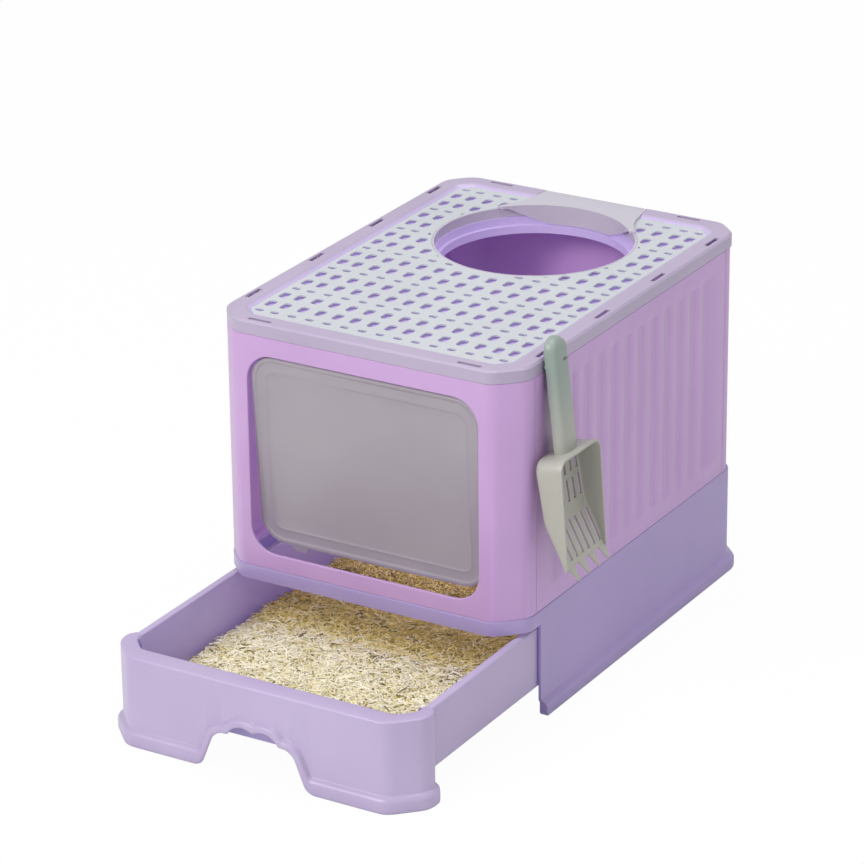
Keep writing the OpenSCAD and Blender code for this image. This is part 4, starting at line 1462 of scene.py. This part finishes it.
@dataclass
class Scoop:
    """Scoop that hangs on the lid: a leaning, hollow handle and a slotted bowl with teeth.

    Each slot row is a pair: how far down the back its slots end and start, by the back's height.
    """

    datum: Datum
    y: float = 67 * MM
    handle_width: float = 30 * MM
    handle_depth: float = 12.5 * MM
    handle_length: float = 123 * MM
    handle_wall: float = 2.2 * MM
    handle_lean: float = math.radians(6.5)
    handle_set: float = 0.8 * MM
    handle_edge: float = 1 * MM
    front_round: float = 8 * MM
    hollow_drop: float = 3 * MM
    dome: float = 13.5 * MM
    dome_set: float = 0.5 * MM
    dome_flat: float = 1.5 * MM
    dome_turn: float = math.radians(84)
    dome_steps: int = 8
    neck: float = 60 * MM
    hole_drop: float = 24 * MM
    hole_length: float = 14 * MM
    hole_height: float = 3.4 * MM
    rest_drop: float = 26.7 * MM
    rest_height: float = 3.5 * MM
    rest_out: Point = (2.5 * MM, 5.5 * MM)
    wall: float = 2.2 * MM
    wall_edge: float = 0.4 * MM
    bowl_half: float = 41 * MM
    bowl_lap: float = 4 * MM
    bowl_height: float = 111 * MM
    back_out: float = 5 * MM
    back_drop: float = 2 * MM
    back_height: float = 64 * MM
    back_lean: float = 11 * MM
    back_round: float = 9 * MM
    mouth_out: float = 36 * MM
    mouth_rise: float = 5 * MM
    floor_out: float = 24 * MM
    rim_out: float = 4 * MM
    corner: float = 12 * MM
    fold: float = 5 * MM
    slots: int = 7
    slot_width: float = 4.4 * MM
    slot_margin: float = 6 * MM
    slot_reach: float = 60 * MM
    slot_rows: Sequence[Point] = ((0.46, 0.12), (0.9, 0.56), (1.62, 1.12))
    teeth: int = 4
    tooth_length: float = 16 * MM
    tooth_edge: float = 0.35 * MM

    def __post_init__(self) -> None:
        """Works out the bowl's side view from the scoop's box in the frame."""
        self.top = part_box("scoop")[1].z
        bowl_top = self.top - self.handle_length + self.bowl_lap
        self.back_top = Vector((self.back_out, bowl_top - self.back_drop))
        self.rim_top = Vector((self.mouth_out, bowl_top + self.mouth_rise))
        self.back_fold = self.back_top + Vector((self.back_lean, -self.back_height))
        self.floor_end = Vector((self.back_fold.x + self.floor_out, bowl_top - self.bowl_height))
        self.rim_end = self.floor_end + Vector((self.rim_out, 0))
        self.slope = (self.floor_end - self.back_fold).normalized()

    def at(self, out: float, across: float, z: float) -> Vector:
        """The frame's point at a distance out from the side panel."""
        return self.datum.at(self.datum.width / 2 + out, self.y + across, z)

    def section(self, half: float, depth: float, height: float) -> list[Vector]:
        """The handle's section, flat behind and round in front.

        Args:
            half: half of its width.
            depth: its depth.
            height: its height over the handle's top.

        Returns:
            The section's closed loop.
        """
        corners = [Vector(p) for p in ((0, 0), (0, -half), (depth, -half), (depth, half),
                                       (0, half))]
        edge = min(self.handle_edge, half * 0.3)
        front = min(self.front_round, half * 0.9, depth * 0.8)
        points = [corners[0]]
        for i, size, steps in ((1, edge, 2), (2, front, 6), (3, front, 6), (4, edge, 2)):
            points += blend_corner(corners[i - 1], corners[i], corners[(i + 1) % 5], size, steps)
        return [Vector((p.x, p.y, height)) for p in points + points[:1]]

    def handle(self) -> bpy.types.Object:
        """Forms the handle, hollows it from behind and cuts its hanging hole.

        Returns:
            The handle, leaning in its place.
        """
        half, depth = self.handle_width / 2, self.handle_depth
        lines = [self.section(half, depth, -self.handle_length),
                 self.section(half, depth, -self.neck)]
        for step in range(self.dome_steps + 1):
            turn = self.dome_turn * step / self.dome_steps
            width = max(half * math.cos(turn) ** 0.8, self.dome_flat)
            lines.append(self.section(width, depth * (0.3 + 0.7 * math.cos(turn)),
                                      self.dome * (math.sin(turn) - 1) - self.dome_set))
        handle = formed_sheet("handle", lines)
        weld(handle, close=True)
        hollow = -self.handle_wall - self.hollow_drop
        pick_faces(handle, lambda face: face.center.x < WELD and face.center.z < hollow)
        with editing(handle):
            bpy.ops.mesh.inset(thickness=self.handle_wall, use_boundary=True)
            bpy.ops.mesh.extrude_region_move(
                TRANSFORM_OT_translate={"value": (depth - 2 * self.handle_wall, 0, 0)})
        low = Vector((self.handle_wall, half - self.hole_length,
                      -self.hole_drop - self.hole_height / 2))
        high = Vector((depth + MM, half + MM, -self.hole_drop + self.hole_height / 2))
        carve(handle, [bar("hole", low, high, 0)])
        lean = Matrix.Rotation(-self.handle_lean, 4, "Y")
        handle.data.transform(Matrix.Translation(self.at(self.handle_set, 0, self.top)) @ lean)
        return handle

    def bowl_rows(self) -> list[tuple[Vector, float]]:
        """Lines across the bowl, from its end up its back.

        Returns:
            Each line's point (out, z) on the back, with the bowl's half-width there.
        """
        fold = blend_corner(self.floor_end, self.back_fold, self.back_top, self.back_round, 5)
        points = stretch(self.floor_end, fold[0], 3) + fold
        up = (self.back_top - self.back_fold).normalized()
        last = self.back_top - up * self.corner
        points += stretch(points[-1], last, 3)[1:]
        rows = [(point, self.bowl_half) for point in points]
        for below, side in quarter(self.corner, 5):
            rows.append((self.back_top - up * below, self.bowl_half - side))
        rows.append((self.back_top.copy(), WELD))
        return rows

    def bowl(self) -> bpy.types.Object:
        """Forms the bowl, gives it its wall and cuts its slots.

        Returns:
            The bowl, without its teeth.
        """
        rise = self.back_top.y - self.floor_end.y
        lines = []
        for back, half in self.bowl_rows():
            mouth = self.rim_end.lerp(self.rim_top, (back.y - self.floor_end.y) / rise)
            way = mouth - back
            fold = min(self.fold, way.length * 0.45, half * 0.45)
            share = fold / way.length
            turn = [(share * (1 - math.sin(a)), half - fold * (1 - math.cos(a)))
                    for a in (0.0, 0.52, 1.05, math.pi / 2)]
            side = [(1.0, half), (0.66, half), (0.33 + share / 2, half)] + turn
            whole = side + [(0.0, 0.0)] + [(s, -across) for s, across in reversed(side)]
            line = []
            for s, across in whole:
                point = back + way * s
                line.append(self.at(point.x, across, point.y))
            lines.append(line)
        bowl = formed_sheet("bowl", lines)
        weld(bowl)
        thicken(bowl, self.wall, self.wall_edge)
        pitch = (2 * self.bowl_half - 2 * self.slot_margin) / (self.slots - 1)
        half = self.slot_width / 2
        cutters = []
        for foot, head in self.slot_rows:
            low = self.back_top.y - foot * self.back_height
            high = self.back_top.y - head * self.back_height
            for i in range(self.slots):
                middle = (i - (self.slots - 1) / 2) * pitch
                cutters.append(bar("slot", self.at(0, middle - half, low),
                                   self.at(self.slot_reach, middle + half, high), 0))
        carve(bowl, cutters)
        return bowl

    def tooth(self, index: int) -> bpy.types.Object:
        """Adds one tooth, which goes on from the bowl's floor.

        Args:
            index: which tooth, counted from the front.

        Returns:
            The tooth.
        """
        pitch = 2 * self.bowl_half / self.teeth
        start = -self.bowl_half + index * pitch
        outline = []
        length = self.tooth_length
        for across, along in ((0.3 * pitch, -MM), (pitch - 5 * MM, length - 0.6 * MM),
                              (pitch - 2.4 * MM, length), (pitch - 0.3 * MM, -MM)):
            point = self.floor_end + self.slope * along
            outline.append(self.at(point.x, start + across, point.y))
        tooth = prism("tooth", outline, Vector((self.wall, 0, 0)))
        finish_with(tooth, "BEVEL", width=self.tooth_edge, segments=2, limit_method="ANGLE")
        return tooth

    def build(self, dresser: Dresser) -> None:
        """Builds the scoop and dresses it.

        Args:
            dresser: gives the pieces their finish and their body.
        """
        half, top = self.handle_width / 2 - MM, self.top - self.rest_drop
        rest = bar("rest", self.at(self.rest_out[0], -half, top - self.rest_height),
                   self.at(self.rest_out[1], half, top))
        pieces = [self.handle(), self.bowl(), rest] + [self.tooth(i) for i in range(self.teeth)]
        scoop = join(pieces, "litter_scoop")
        smooth(scoop)
        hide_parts("scoop")
        dresser.dress(scoop, Finishes.SCOOP, "scoop")


@dataclass
class Drawer:
    """Pull-out drawer: a tray behind a wrapped front, whose skirt rolls up over the handle arch.

    The wrap's ends turn out: each pair of wrap_ease is a distance from the end and the share of
    the turn there.
    """

    datum: Datum
    blend: float = 10 * MM
    wall: float = 2.6 * MM
    wrap: float = 49 * MM
    front_rim: float = 20 * MM
    side_rim: float = 9 * MM
    floor: float = 33 * MM
    rim_drop: float = 67 * MM
    crest: float = 8 * MM
    swell: float = 2.4 * MM
    top_round: float = 2.2 * MM
    inner_round: float = 1.2 * MM
    toe_round: float = 10 * MM
    leg_turn: float = math.radians(21.8)
    shoulder: Point = (34 * MM, 26.6 * MM)
    shoulder_radius: float = 16.2 * MM
    bump: Point = (12 * MM, 34 * MM)
    bump_radius: float = 19.7 * MM
    cusp_round: float = 3.6 * MM
    tray_width: float = 347 * MM
    back_cut: float = 16 * MM
    wrap_turn: float = 4.5 * MM
    wrap_ease: Sequence[Point] = ((0, 1.0), (1.5 * MM, 0.85), (3 * MM, 0.6), (4.5 * MM, 0.33),
                                  (6 * MM, 0.13), (8 * MM, 0.0))
    toe_run: float = 2 * MM
    toe_fade: float = 0.75
    rim_draw: float = 0.06
    foot_round: float = 4 * MM
    front_edge: float = 0.6 * MM
    tray_edge: float = 0.5 * MM
    floor_lap: float = 0.3 * MM
    floor_wall: float = 3 * MM

    def __post_init__(self) -> None:
        """Reads the drawer's place from the frame."""
        low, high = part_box("drawer_tray")
        self.front = low.y + self.crest - self.datum.y
        self.length = high.y - low.y - self.crest
        self.rim = high.z
        self.roll = skirt_roll()
        self.outer = self.datum.plan()
        inner_width = self.tray_width - 2 * self.side_rim
        inner_cut = self.outer.cut - self.front_rim * CUT_GAIN
        self.inner = Plan(inner_width, self.length - self.front_rim - self.side_rim, inner_cut,
                          self.back_cut, self.blend / 2)

    def at(self, x: float, y: float, z: float) -> Vector:
        """The frame's point at y behind the drawer's own front face."""
        return self.datum.at(x, self.front + y, z)

    def inside(self, place: Vector) -> bool:
        """Whether a place lies in the tray or in the hollow behind the front, where the drawer gets
        its painted glow.

        Args:
            place: the place.

        Returns:
            Whether it lies there.
        """
        x, y = abs(place.x - self.datum.x), place.y - self.datum.y - self.front
        slack = 0.5 * MM
        if y > self.front_rim - slack and x < self.inner.width / 2 + slack:
            return place.z < self.rim - 2 * slack
        side = self.tray_width / 2 - 2 * slack - x
        return (3 * slack < y < self.wrap and side > 0 and side + y > self.outer.cut
                and place.z < self.rim - 4 * slack)

    def arch_half(self, step: RollStep) -> list[Vector]:
        """Left half of one line of the roll: along the skirt, then up round the arch.

        Args:
            step: the line.

        Returns:
            Points (x, z) from the corner's end to the middle.
        """
        shoulder, bump = Vector(self.shoulder), Vector(self.bump)
        big, small = self.shoulder_radius + step.spread, self.bump_radius + step.spread
        away = bump - shoulder
        along = (big ** 2 - small ** 2 + away.length_squared) / (2 * away.length)
        up = Vector((away.y, -away.x)).normalized()
        meet = shoulder + away.normalized() * along + up * math.sqrt(big ** 2 - along ** 2)
        knee = shoulder + Vector((math.cos(self.leg_turn), math.sin(self.leg_turn))) * big
        toe = Vector((knee.x + (knee.y - step.rise) * math.tan(self.leg_turn), step.rise))
        start = Vector((self.datum.width / 2 - self.outer.cut - self.blend, step.rise))
        line = stretch(start, toe + Vector((self.toe_round + self.toe_run, 0)), 6)
        line += blend_corner(start, toe, knee, self.toe_round - step.spread * self.toe_fade, 7)
        line += stretch(line[-1], knee, 3)[1:]
        leave = math.atan2(*(meet - shoulder).yx) - self.cusp_round / big
        enter = math.atan2(*(meet - bump).yx) + self.cusp_round / small
        rising = arc(shoulder, big, self.leg_turn, leave, 8)
        crown = arc(bump, small, enter, math.acos(-bump.x / small), 12)
        cusp = blend_corner(rising[-1], meet, crown[0], self.cusp_round, 6)
        line += rising[:-1] + cusp + crown[1:]
        line[-1].x = 0.0
        return [Vector((-p.x, p.y)) for p in line]

    def wrap_half(self, out: float, inset_side: float, inset_front: float) -> list[Vector]:
        """Plan of the left corner of the front, from the wrap's end to the front's straight run.

        Args:
            out: how far the line stands out.
            inset_side: how far the side is moved inwards.
            inset_front: how far the front is moved inwards.

        Returns:
            Points (x, y), y behind the front face.
        """
        side = self.datum.width / 2 + out - inset_side
        front = inset_front - out
        cut = self.outer.cut + (out - inset_front) * CUT_GAIN
        blend = self.blend * (1 - inset_front / self.front_rim / 2)
        a = Vector((-side, self.wrap))
        b = Vector((-side, front + cut))
        c = Vector((-side + cut, front))
        d = Vector((0.0, front))
        turn = self.wrap_turn * (1 - inset_front / self.front_rim)
        line = [a + Vector((turn * share, -along)) for along, share in self.wrap_ease]
        line += stretch(line[-1], b + Vector((0, blend)), 3)[1:]
        line += blend_corner(a, b, c, blend, 6)
        line += blend_corner(b, c, d, blend, 6)[:-1]
        return line

    def roll_line(self, step: RollStep) -> list[Vector]:
        """One whole line of the roll.

        Args:
            step: the line.

        Returns:
            Its points, from the left wrap's end to the right one's.
        """
        out = self.swell + step.out * (1 - self.swell / self.crest)
        half = [Vector((p.x, p.y, step.rise)) for p in self.wrap_half(out, 0, 0)]
        half += [Vector((p.x, -out, p.y)) for p in self.arch_half(step)]
        return mirrored(half)

    def rim_line(self, depth: float, z: float) -> list[Vector]:
        """One line over the drawer's front rim and down into the tray.

        Args:
            depth: 0 at the outer edge, 1 at the inner edge.
            z: height of the line.

        Returns:
            The line's points.
        """
        side_inset = (self.datum.width - self.tray_width) / 2 + self.side_rim
        out = self.swell * (1 - depth)
        wrap = self.wrap_half(out, side_inset * depth, self.front_rim * depth)
        run = self.arch_half(self.roll[-1])
        scale = 1 - depth * self.rim_draw
        half = [Vector((p.x, p.y, z)) for p in wrap]
        half += [Vector((p.x * scale, self.front_rim * depth - out, z)) for p in run]
        return mirrored(half)

    def apron(self) -> bpy.types.Object:
        """Forms the wrapped front, from the skirt's foot over the rim down to the tray's floor.

        Returns:
            The front, with its wall.
        """
        lines = [self.roll_line(step) for step in self.roll]
        for below, back in quarter(self.top_round):
            lines.append(self.rim_line(back / self.front_rim, self.rim - below))
        for below, back in reversed(quarter(self.inner_round)):
            lines.append(self.rim_line(1 - back / self.front_rim, self.rim - below))
        lines.append(self.rim_line(1, self.floor - WELD))
        sheet = formed_sheet("drawer_front", [[self.at(*p) for p in line] for line in lines])
        thicken(sheet, self.wall, self.front_edge)
        return sheet

    def tray(self) -> bpy.types.Object:
        """Forms the tray's side and back walls with their turned-down rim.

        Returns:
            The walls.
        """
        profile = [(self.floor - WELD, 0.0)]
        profile += [(self.rim - below, back) for below, back in quarter(self.inner_round)]
        outer = self.side_rim
        profile += [(self.rim - below, outer - back)
                    for below, back in reversed(quarter(self.top_round))]
        foot = self.rim - self.rim_drop
        profile += [(foot + below, outer - back) for below, back in quarter(self.foot_round, 4)]
        lines = []
        for z, out in profile:
            side = self.inner.width / 2 + out
            path = self.inner.path(out, 4, 7)
            path = [Vector((side, self.wrap - self.front_rim))] + path
            path.append(Vector((-side, self.wrap - self.front_rim)))
            lines.append([self.at(p.x, p.y + self.front_rim, z) for p in reversed(path)])
        tray = formed_sheet("tray", lines)
        thicken(tray, self.wall, self.tray_edge)
        return tray

    def tray_floor(self) -> bpy.types.Object:
        """Adds the tray's floor.

        Returns:
            The floor.
        """
        loop = self.inner.loop(self.floor_lap, ())[:-1]
        outline = [self.at(p.x, p.y + self.front_rim, self.floor) for p in loop]
        return prism("tray_floor", outline, Vector((0, 0, -self.floor_wall)))

    def build(self, dresser: Dresser) -> None:
        """Builds the drawer and dresses it.

        Args:
            dresser: gives the pieces their finish and their body.
        """
        drawer = join([self.apron(), self.tray(), self.tray_floor()], "drawer")
        smooth(drawer)
        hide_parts("drawer_tray")
        dresser.dress(drawer, Finishes.DRAWER, "drawer", inside=self.inside)
        Litter(self).build(dresser)


@dataclass
class Litter:
    """Loose bed of pressed pellets in the drawer.

    Lengths and widths each give the least share of a pellet's full size and the swing over it.
    """

    drawer: Drawer
    pellets: int = 19000
    batches: int = 3
    length: float = 12 * MM
    radius: float = 0.72 * MM
    tilt: float = 0.14
    lengths: Point = (0.55, 0.6)
    widths: Point = (0.7, 0.45)
    pile: float = 2.4 * MM
    sink: float = 1 * MM
    margin: float = 6.4 * MM
    depth: float = 9 * MM
    fall: float = 70 * MM
    mound_height: float = 3.5 * MM
    mound_radius: float = 18 * MM
    mound_pitch: float = 44 * MM
    # Painted shade: from shade_start to shade_end behind the tray's front the pellets' tones fall,
    # standing in for the box's shadow over the tray's back.
    shade_start: float = 196 * MM
    shade_end: float = 240 * MM
    shade_ragged: float = 7 * MM
    tone: float = 0.78
    tone_spread: float = 0.12
    painted_shade_fall: float = 0.36
    dark_share: float = 0.045
    dark_tone: float = 0.12
    core_tone: float = 0.5
    core_sink: float = 1.6 * MM
    core_lines: tuple[int, int] = (60, 46)
    gap: float = 0.3 * MM
    bend: Point = (0, 0.8 * MM, 0.2 * MM)
    seed: int = 11

    def surface(self, x: np.ndarray) -> np.ndarray:
        """Height of the bed between its mounds, which falls towards the left wall."""
        share = np.clip((x + self.drawer.inner.width / 2) / self.fall, 0, 1)
        return self.drawer.floor + self.depth * (0.5 + 0.5 * share)

    def level(self, x: np.ndarray, y: np.ndarray) -> np.ndarray:
        """Height of the bed with its staggered mounds.

        Args:
            x: places across the tray, from its middle.
            y: their distances behind the tray's front.

        Returns:
            The heights.
        """
        inner = self.drawer.inner
        rows = math.floor((inner.depth - 2 * self.mound_radius) / self.mound_pitch)
        columns = math.floor(inner.width / 2 / self.mound_pitch)
        row = np.clip(np.round((y - self.mound_radius) / self.mound_pitch), 0, rows)
        odd = row % 2
        column = np.clip(np.round(x / self.mound_pitch - odd / 2), -columns, columns - odd)
        middle = (column + odd / 2) * self.mound_pitch
        away = np.hypot(x - middle, y - self.mound_radius - row * self.mound_pitch)
        ball = (self.mound_radius ** 2 + self.mound_height ** 2) / (2 * self.mound_height)
        cap = np.sqrt(ball ** 2 - np.minimum(away, self.mound_radius) ** 2) - ball
        mound = self.surface(middle) + (cap + self.mound_height) * (away < self.mound_radius)
        return np.maximum(self.surface(x), mound)

    def half_width(self, y: np.ndarray, margin: float) -> np.ndarray:
        """Half of the tray's width.

        Args:
            y: places behind the tray's front.
            margin: what is kept free at each side.

        Returns:
            The half-widths.
        """
        inner = self.drawer.inner
        half = np.full_like(y, inner.width / 2)
        half = np.minimum(half, inner.width / 2 - inner.cut + y)
        return np.minimum(half, inner.width / 2 - inner.back_cut + inner.depth - y) - margin

    def bed(self) -> bpy.types.Object:
        """Forms the bed that the pellets lie on.

        Returns:
            The bed.
        """
        inner = self.drawer.inner
        rows = np.linspace(self.gap, inner.depth - self.gap, self.core_lines[0])
        shares = np.linspace(-1, 1, self.core_lines[1])
        lines = []
        for i, y in enumerate(rows):
            x = shares * self.half_width(np.array([y]), self.gap)[0]
            z = self.level(x, np.full_like(x, y)) - self.core_sink
            if i in (0, len(rows) - 1):
                z = np.full_like(x, self.drawer.floor)
            z[0] = z[-1] = self.drawer.floor
            lines.append([self.drawer.at(a, y + self.drawer.front_rim, c) for a, c in zip(x, z)])
        bed = formed_sheet("litter_bed_core", lines)
        weld(bed, close=True)
        layer = bed.data.attributes.new("tone", "FLOAT", "POINT")
        layer.data.foreach_set("value", [self.core_tone] * len(bed.data.vertices))
        return bed

    def pellet(self) -> bpy.types.Object:
        """Models one pellet along x: a slightly bent rod.

        Returns:
            The pellet.
        """
        deselect()
        bpy.ops.mesh.primitive_cylinder_add(vertices=5, radius=self.radius, depth=self.length,
                                            rotation=(0, math.pi / 2, 0))
        pellet = bpy.context.object
        settle(pellet)
        with editing(pellet):
            bpy.ops.mesh.select_all(action="SELECT")
            bpy.ops.mesh.bisect(plane_co=(0, 0, 0), plane_no=(1, 0, 0))
            bpy.ops.transform.translate(value=self.bend)
        return pellet

    def scatter(self) -> list[bpy.types.Object]:
        """Copies the pellet over the bed, each copy with its own turn, size and tone.

        Returns:
            The heaps of pellets, from the front to the back.
        """
        model = self.pellet()
        shape = np.array([tuple(v.co) for v in model.data.vertices])
        faces = [tuple(face.vertices) for face in model.data.polygons]
        bpy.data.objects.remove(model)
        draw = np.random.default_rng(self.seed)
        place = self.places(draw)
        yaw = draw.random(self.pellets) * 2 * math.pi
        pitch = draw.normal(0, self.tilt, self.pellets)
        spin = draw.random(self.pellets) * 2 * math.pi
        long = self.lengths[0] + self.lengths[1] * draw.random(self.pellets)
        thick = self.widths[0] + self.widths[1] * draw.random(self.pellets)
        tone = self.tones(draw, place[:, 1])
        pieces = []
        for batch, chosen in enumerate(np.array_split(np.argsort(place[:, 1]), self.batches)):
            size = np.stack([long[chosen], thick[chosen], thick[chosen]], axis=1)
            points = shape[None, :, :] * size[:, None, :]
            points = turned(points, spin[chosen], 1, 2)
            points = turned(points, pitch[chosen], 0, 2)
            points = turned(points, yaw[chosen], 0, 1)
            points = points + place[chosen][:, None, :]
            pieces.append(self.heap(f"litter_pellets_{batch + 1}", points, faces, tone[chosen]))
        return pieces

    def places(self, draw: np.random.Generator) -> np.ndarray:
        """Draws the pellets' places: on the bed, some sunk in it and some on top of others.

        Args:
            draw: the source of chance.

        Returns:
            The places (x, y, z).
        """
        run = self.drawer.inner.depth - 2 * self.margin
        y = self.margin + run * draw.random(self.pellets)
        x = (draw.random(self.pellets) * 2 - 1) * self.half_width(y, self.margin)
        z = self.level(x, y) + draw.random(self.pellets) ** 1.5 * self.pile - self.sink
        return np.stack([x, y, z], axis=1)

    def tones(self, draw: np.random.Generator, y: np.ndarray) -> np.ndarray:
        """Draws the pellets' tones, darker towards the back as painted shade of the box, with a few
        dark ones.

        Args:
            draw: the source of chance.
            y: the pellets' distances behind the tray's front.

        Returns:
            The tones, from 0 for dark to 1 for pale.
        """
        ragged = y + draw.normal(0, self.shade_ragged, self.pellets)
        painted_shade = np.clip((ragged - self.shade_start) / (self.shade_end - self.shade_start), 0, 1)
        tone = draw.normal(self.tone, self.tone_spread, self.pellets) - self.painted_shade_fall * painted_shade
        tone = np.clip(tone, 0, 1)
        dark = draw.random(self.pellets) < self.dark_share
        tone[dark] = draw.random(int(dark.sum())) * self.dark_tone
        return tone

    def heap(self, name: str, points: np.ndarray, faces: Sequence[tuple[int, ...]],
             tone: np.ndarray) -> bpy.types.Object:
        """Makes one mesh of many pellets.

        Args:
            name: the mesh's name.
            points: each pellet's points.
            faces: one pellet's faces.
            tone: each pellet's tone.

        Returns:
            The piece, whose 'tone' attribute holds the tones.
        """
        count, size, _ = points.shape
        corner = self.drawer.at(0, self.drawer.front_rim, 0)
        flat = points.reshape(-1, 3) + np.array(corner)
        whole = [tuple(v + i * size for v in face) for i in range(count) for face in faces]
        mesh = bpy.data.meshes.new(name)
        mesh.from_pydata(flat.tolist(), [], whole)
        layer = mesh.attributes.new("tone", "FLOAT", "POINT")
        layer.data.foreach_set("value", np.repeat(tone, size).astype(np.float32))
        piece = bpy.data.objects.new(name, mesh)
        bpy.context.scene.collection.objects.link(piece)
        return piece

    def build(self, dresser: Dresser) -> None:
        """Builds the litter and dresses it.

        Args:
            dresser: gives the pieces their finish and their body.
        """
        for piece in [self.bed()] + self.scatter():
            smooth(piece, math.radians(50))
            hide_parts("litter_bed")
            dresser.dress(piece, Finishes.LITTER, "drawer")


def turned(points: np.ndarray, angle: np.ndarray, first: int, second: int) -> np.ndarray:
    """Turns each pellet's points by its own angle.

    Args:
        points: the pellets' points.
        angle: one angle for each pellet.
        first: the axis that turns.
        second: the axis that it turns towards.

    Returns:
        The turned points.
    """
    cos, sin = np.cos(angle)[:, None], np.sin(angle)[:, None]
    result = points.copy()
    result[:, :, first] = points[:, :, first] * cos - points[:, :, second] * sin
    result[:, :, second] = points[:, :, first] * sin + points[:, :, second] * cos
    return result


# ---- Studio ------------------------------------------------------------------------------------


@dataclass(frozen=True)
class Lamp:
    """Soft square lamp that faces the box."""

    name: str
    place: Point
    size: float
    watts: float
    colour: Point = (1, 1, 1)

    def switch_on(self, aim: Vector, seen: bool = True) -> None:
        """Adds the lamp.

        Args:
            aim: the point that it faces.
            seen: whether the camera and glossy faces see it.
        """
        data = bpy.data.lights.new(self.name, "AREA")
        data.shape = "SQUARE"
        data.size = self.size
        data.energy = self.watts
        data.color = self.colour
        lamp = bpy.data.objects.new(self.name, data)
        bpy.context.scene.collection.objects.link(lamp)
        lamp.visible_camera = lamp.visible_glossy = seen
        lamp.location = Vector(self.place)
        lamp.rotation_euler = (aim - lamp.location).to_track_quat("-Z", "Y").to_euler()


@dataclass
class Studio:
    """White floor, white surroundings, soft lamps and the camera."""

    datum: Datum
    azimuth: float = math.radians(31.1)
    elevation: float = math.radians(22.9)
    roll: float = math.radians(-0.7)
    distance: float = 4.4165
    target: Point = (-0.072, 0.2405, 0.18)
    focal_px: float = 4150.1
    centre_px: Point = (423.7, 442.5)
    image_px: float = 864.0
    sensor: float = 36.0
    floor_size: float = 14.0
    floor_glow: float = 0.97
    sky: float = 0.55
    lamps: Sequence[Lamp] = (Lamp("key", (-1.0, -2.9, 2.6), 1.6, 74, (1.0, 0.99, 0.95)),
                             Lamp("fill", (2.8, -1.6, 1.6), 1.8, 7, (0.9, 0.86, 1.0)),
                             Lamp("top", (0.3, 0.2, 3.2), 1.8, 38))

    def camera(self) -> None:
        """Sets the camera."""
        az, el = self.azimuth, self.elevation
        back = Vector((math.sin(az) * math.cos(el), -math.cos(az) * math.cos(el), math.sin(el)))
        right = (-back).cross(Vector((0, 0, 1))).normalized()
        up = right.cross(-back)
        turned_right = right * math.cos(self.roll) + up * math.sin(self.roll)
        turned_up = up * math.cos(self.roll) - right * math.sin(self.roll)
        data = bpy.data.cameras.new("camera")
        data.sensor_width = self.sensor
        data.lens = self.focal_px * self.sensor / self.image_px
        data.shift_x = (self.image_px / 2 - self.centre_px[0]) / self.image_px
        data.shift_y = (self.centre_px[1] - self.image_px / 2) / self.image_px
        data.clip_end = 50
        camera = bpy.data.objects.new("camera", data)
        bpy.context.scene.collection.objects.link(camera)
        turn = Matrix((turned_right, turned_up, back)).transposed().to_4x4()
        place = self.datum.at(*self.target) + back * self.distance
        camera.matrix_world = Matrix.Translation(place) @ turn
        bpy.context.scene.camera = camera

    def floor(self) -> None:
        """Lays the floor, which shows white to the camera and keeps the box's shadow."""
        deselect()
        bpy.ops.mesh.primitive_plane_add(size=self.floor_size)
        floor = bpy.context.object
        floor.name = "floor"
        graph = Graph("floor_white")
        seen = graph.node("ShaderNodeLightPath").outputs["Is Camera Ray"]
        matt = graph.node("ShaderNodeBsdfDiffuse", {}, {"Color": (0.8, 0.8, 0.8, 1)})
        glow = graph.node("ShaderNodeEmission", {}, {"Color": (1, 1, 1, 1), "Strength": 1.0})
        shown = graph.node("ShaderNodeMixShader", {}, {
            0: self.floor_glow, 1: matt.outputs[0], 2: glow.outputs[0]})
        surface = graph.node("ShaderNodeMixShader", {}, {
            0: seen, 1: matt.outputs[0], 2: shown.outputs[0]})
        floor.data.materials.append(graph.close(surface.outputs[0]))

    def surroundings(self) -> None:
        """Fills the surroundings with soft light, and with white where the camera sees them."""
        world = bpy.data.worlds.new("studio")
        bpy.context.scene.world = world
        world.use_nodes = True
        tree = world.node_tree
        tree.nodes.clear()
        path = tree.nodes.new("ShaderNodeLightPath")
        mix = tree.nodes.new("ShaderNodeMixShader")
        out = tree.nodes.new("ShaderNodeOutputWorld")
        tree.links.new(path.outputs["Is Camera Ray"], mix.inputs[0])
        for socket, strength in ((1, self.sky), (2, 1.0)):
            white = tree.nodes.new("ShaderNodeBackground")
            white.inputs["Color"].default_value = (1, 1, 1, 1)
            white.inputs["Strength"].default_value = strength
            tree.links.new(white.outputs[0], mix.inputs[socket])
        tree.links.new(mix.outputs[0], out.inputs["Surface"])

    def build(self) -> None:
        """Sets up the whole studio."""
        bpy.context.scene.view_settings.view_transform = "Standard"
        self.camera()
        self.floor()
        self.surroundings()
        aim = self.datum.at(0, 0.1, 0.2)
        for lamp in self.lamps:
            lamp.switch_on(aim)
        cabin = Lamp("cabin", self.datum.at(0, 0.35, 0.3), 0.1, 0.6, (1.0, 0.93, 0.82))
        cabin.switch_on(self.datum.at(0, 0.05, 0.05), False)


def main() -> None:
    """Builds the box and its studio."""
    logging.basicConfig(level=logging.INFO, format="%(name)s: %(message)s")
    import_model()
    datum = Datum.read()
    dresser = Dresser()
    Studio(datum).build()
    Base(datum).build(dresser)
    Walls(datum).build(dresser)
    Lid(datum).build(dresser)
    FlapDoor(datum).build(dresser)
    Drawer(datum).build(dresser)
    Scoop(datum).build(dresser)


if __name__ == "__main__":
    main()
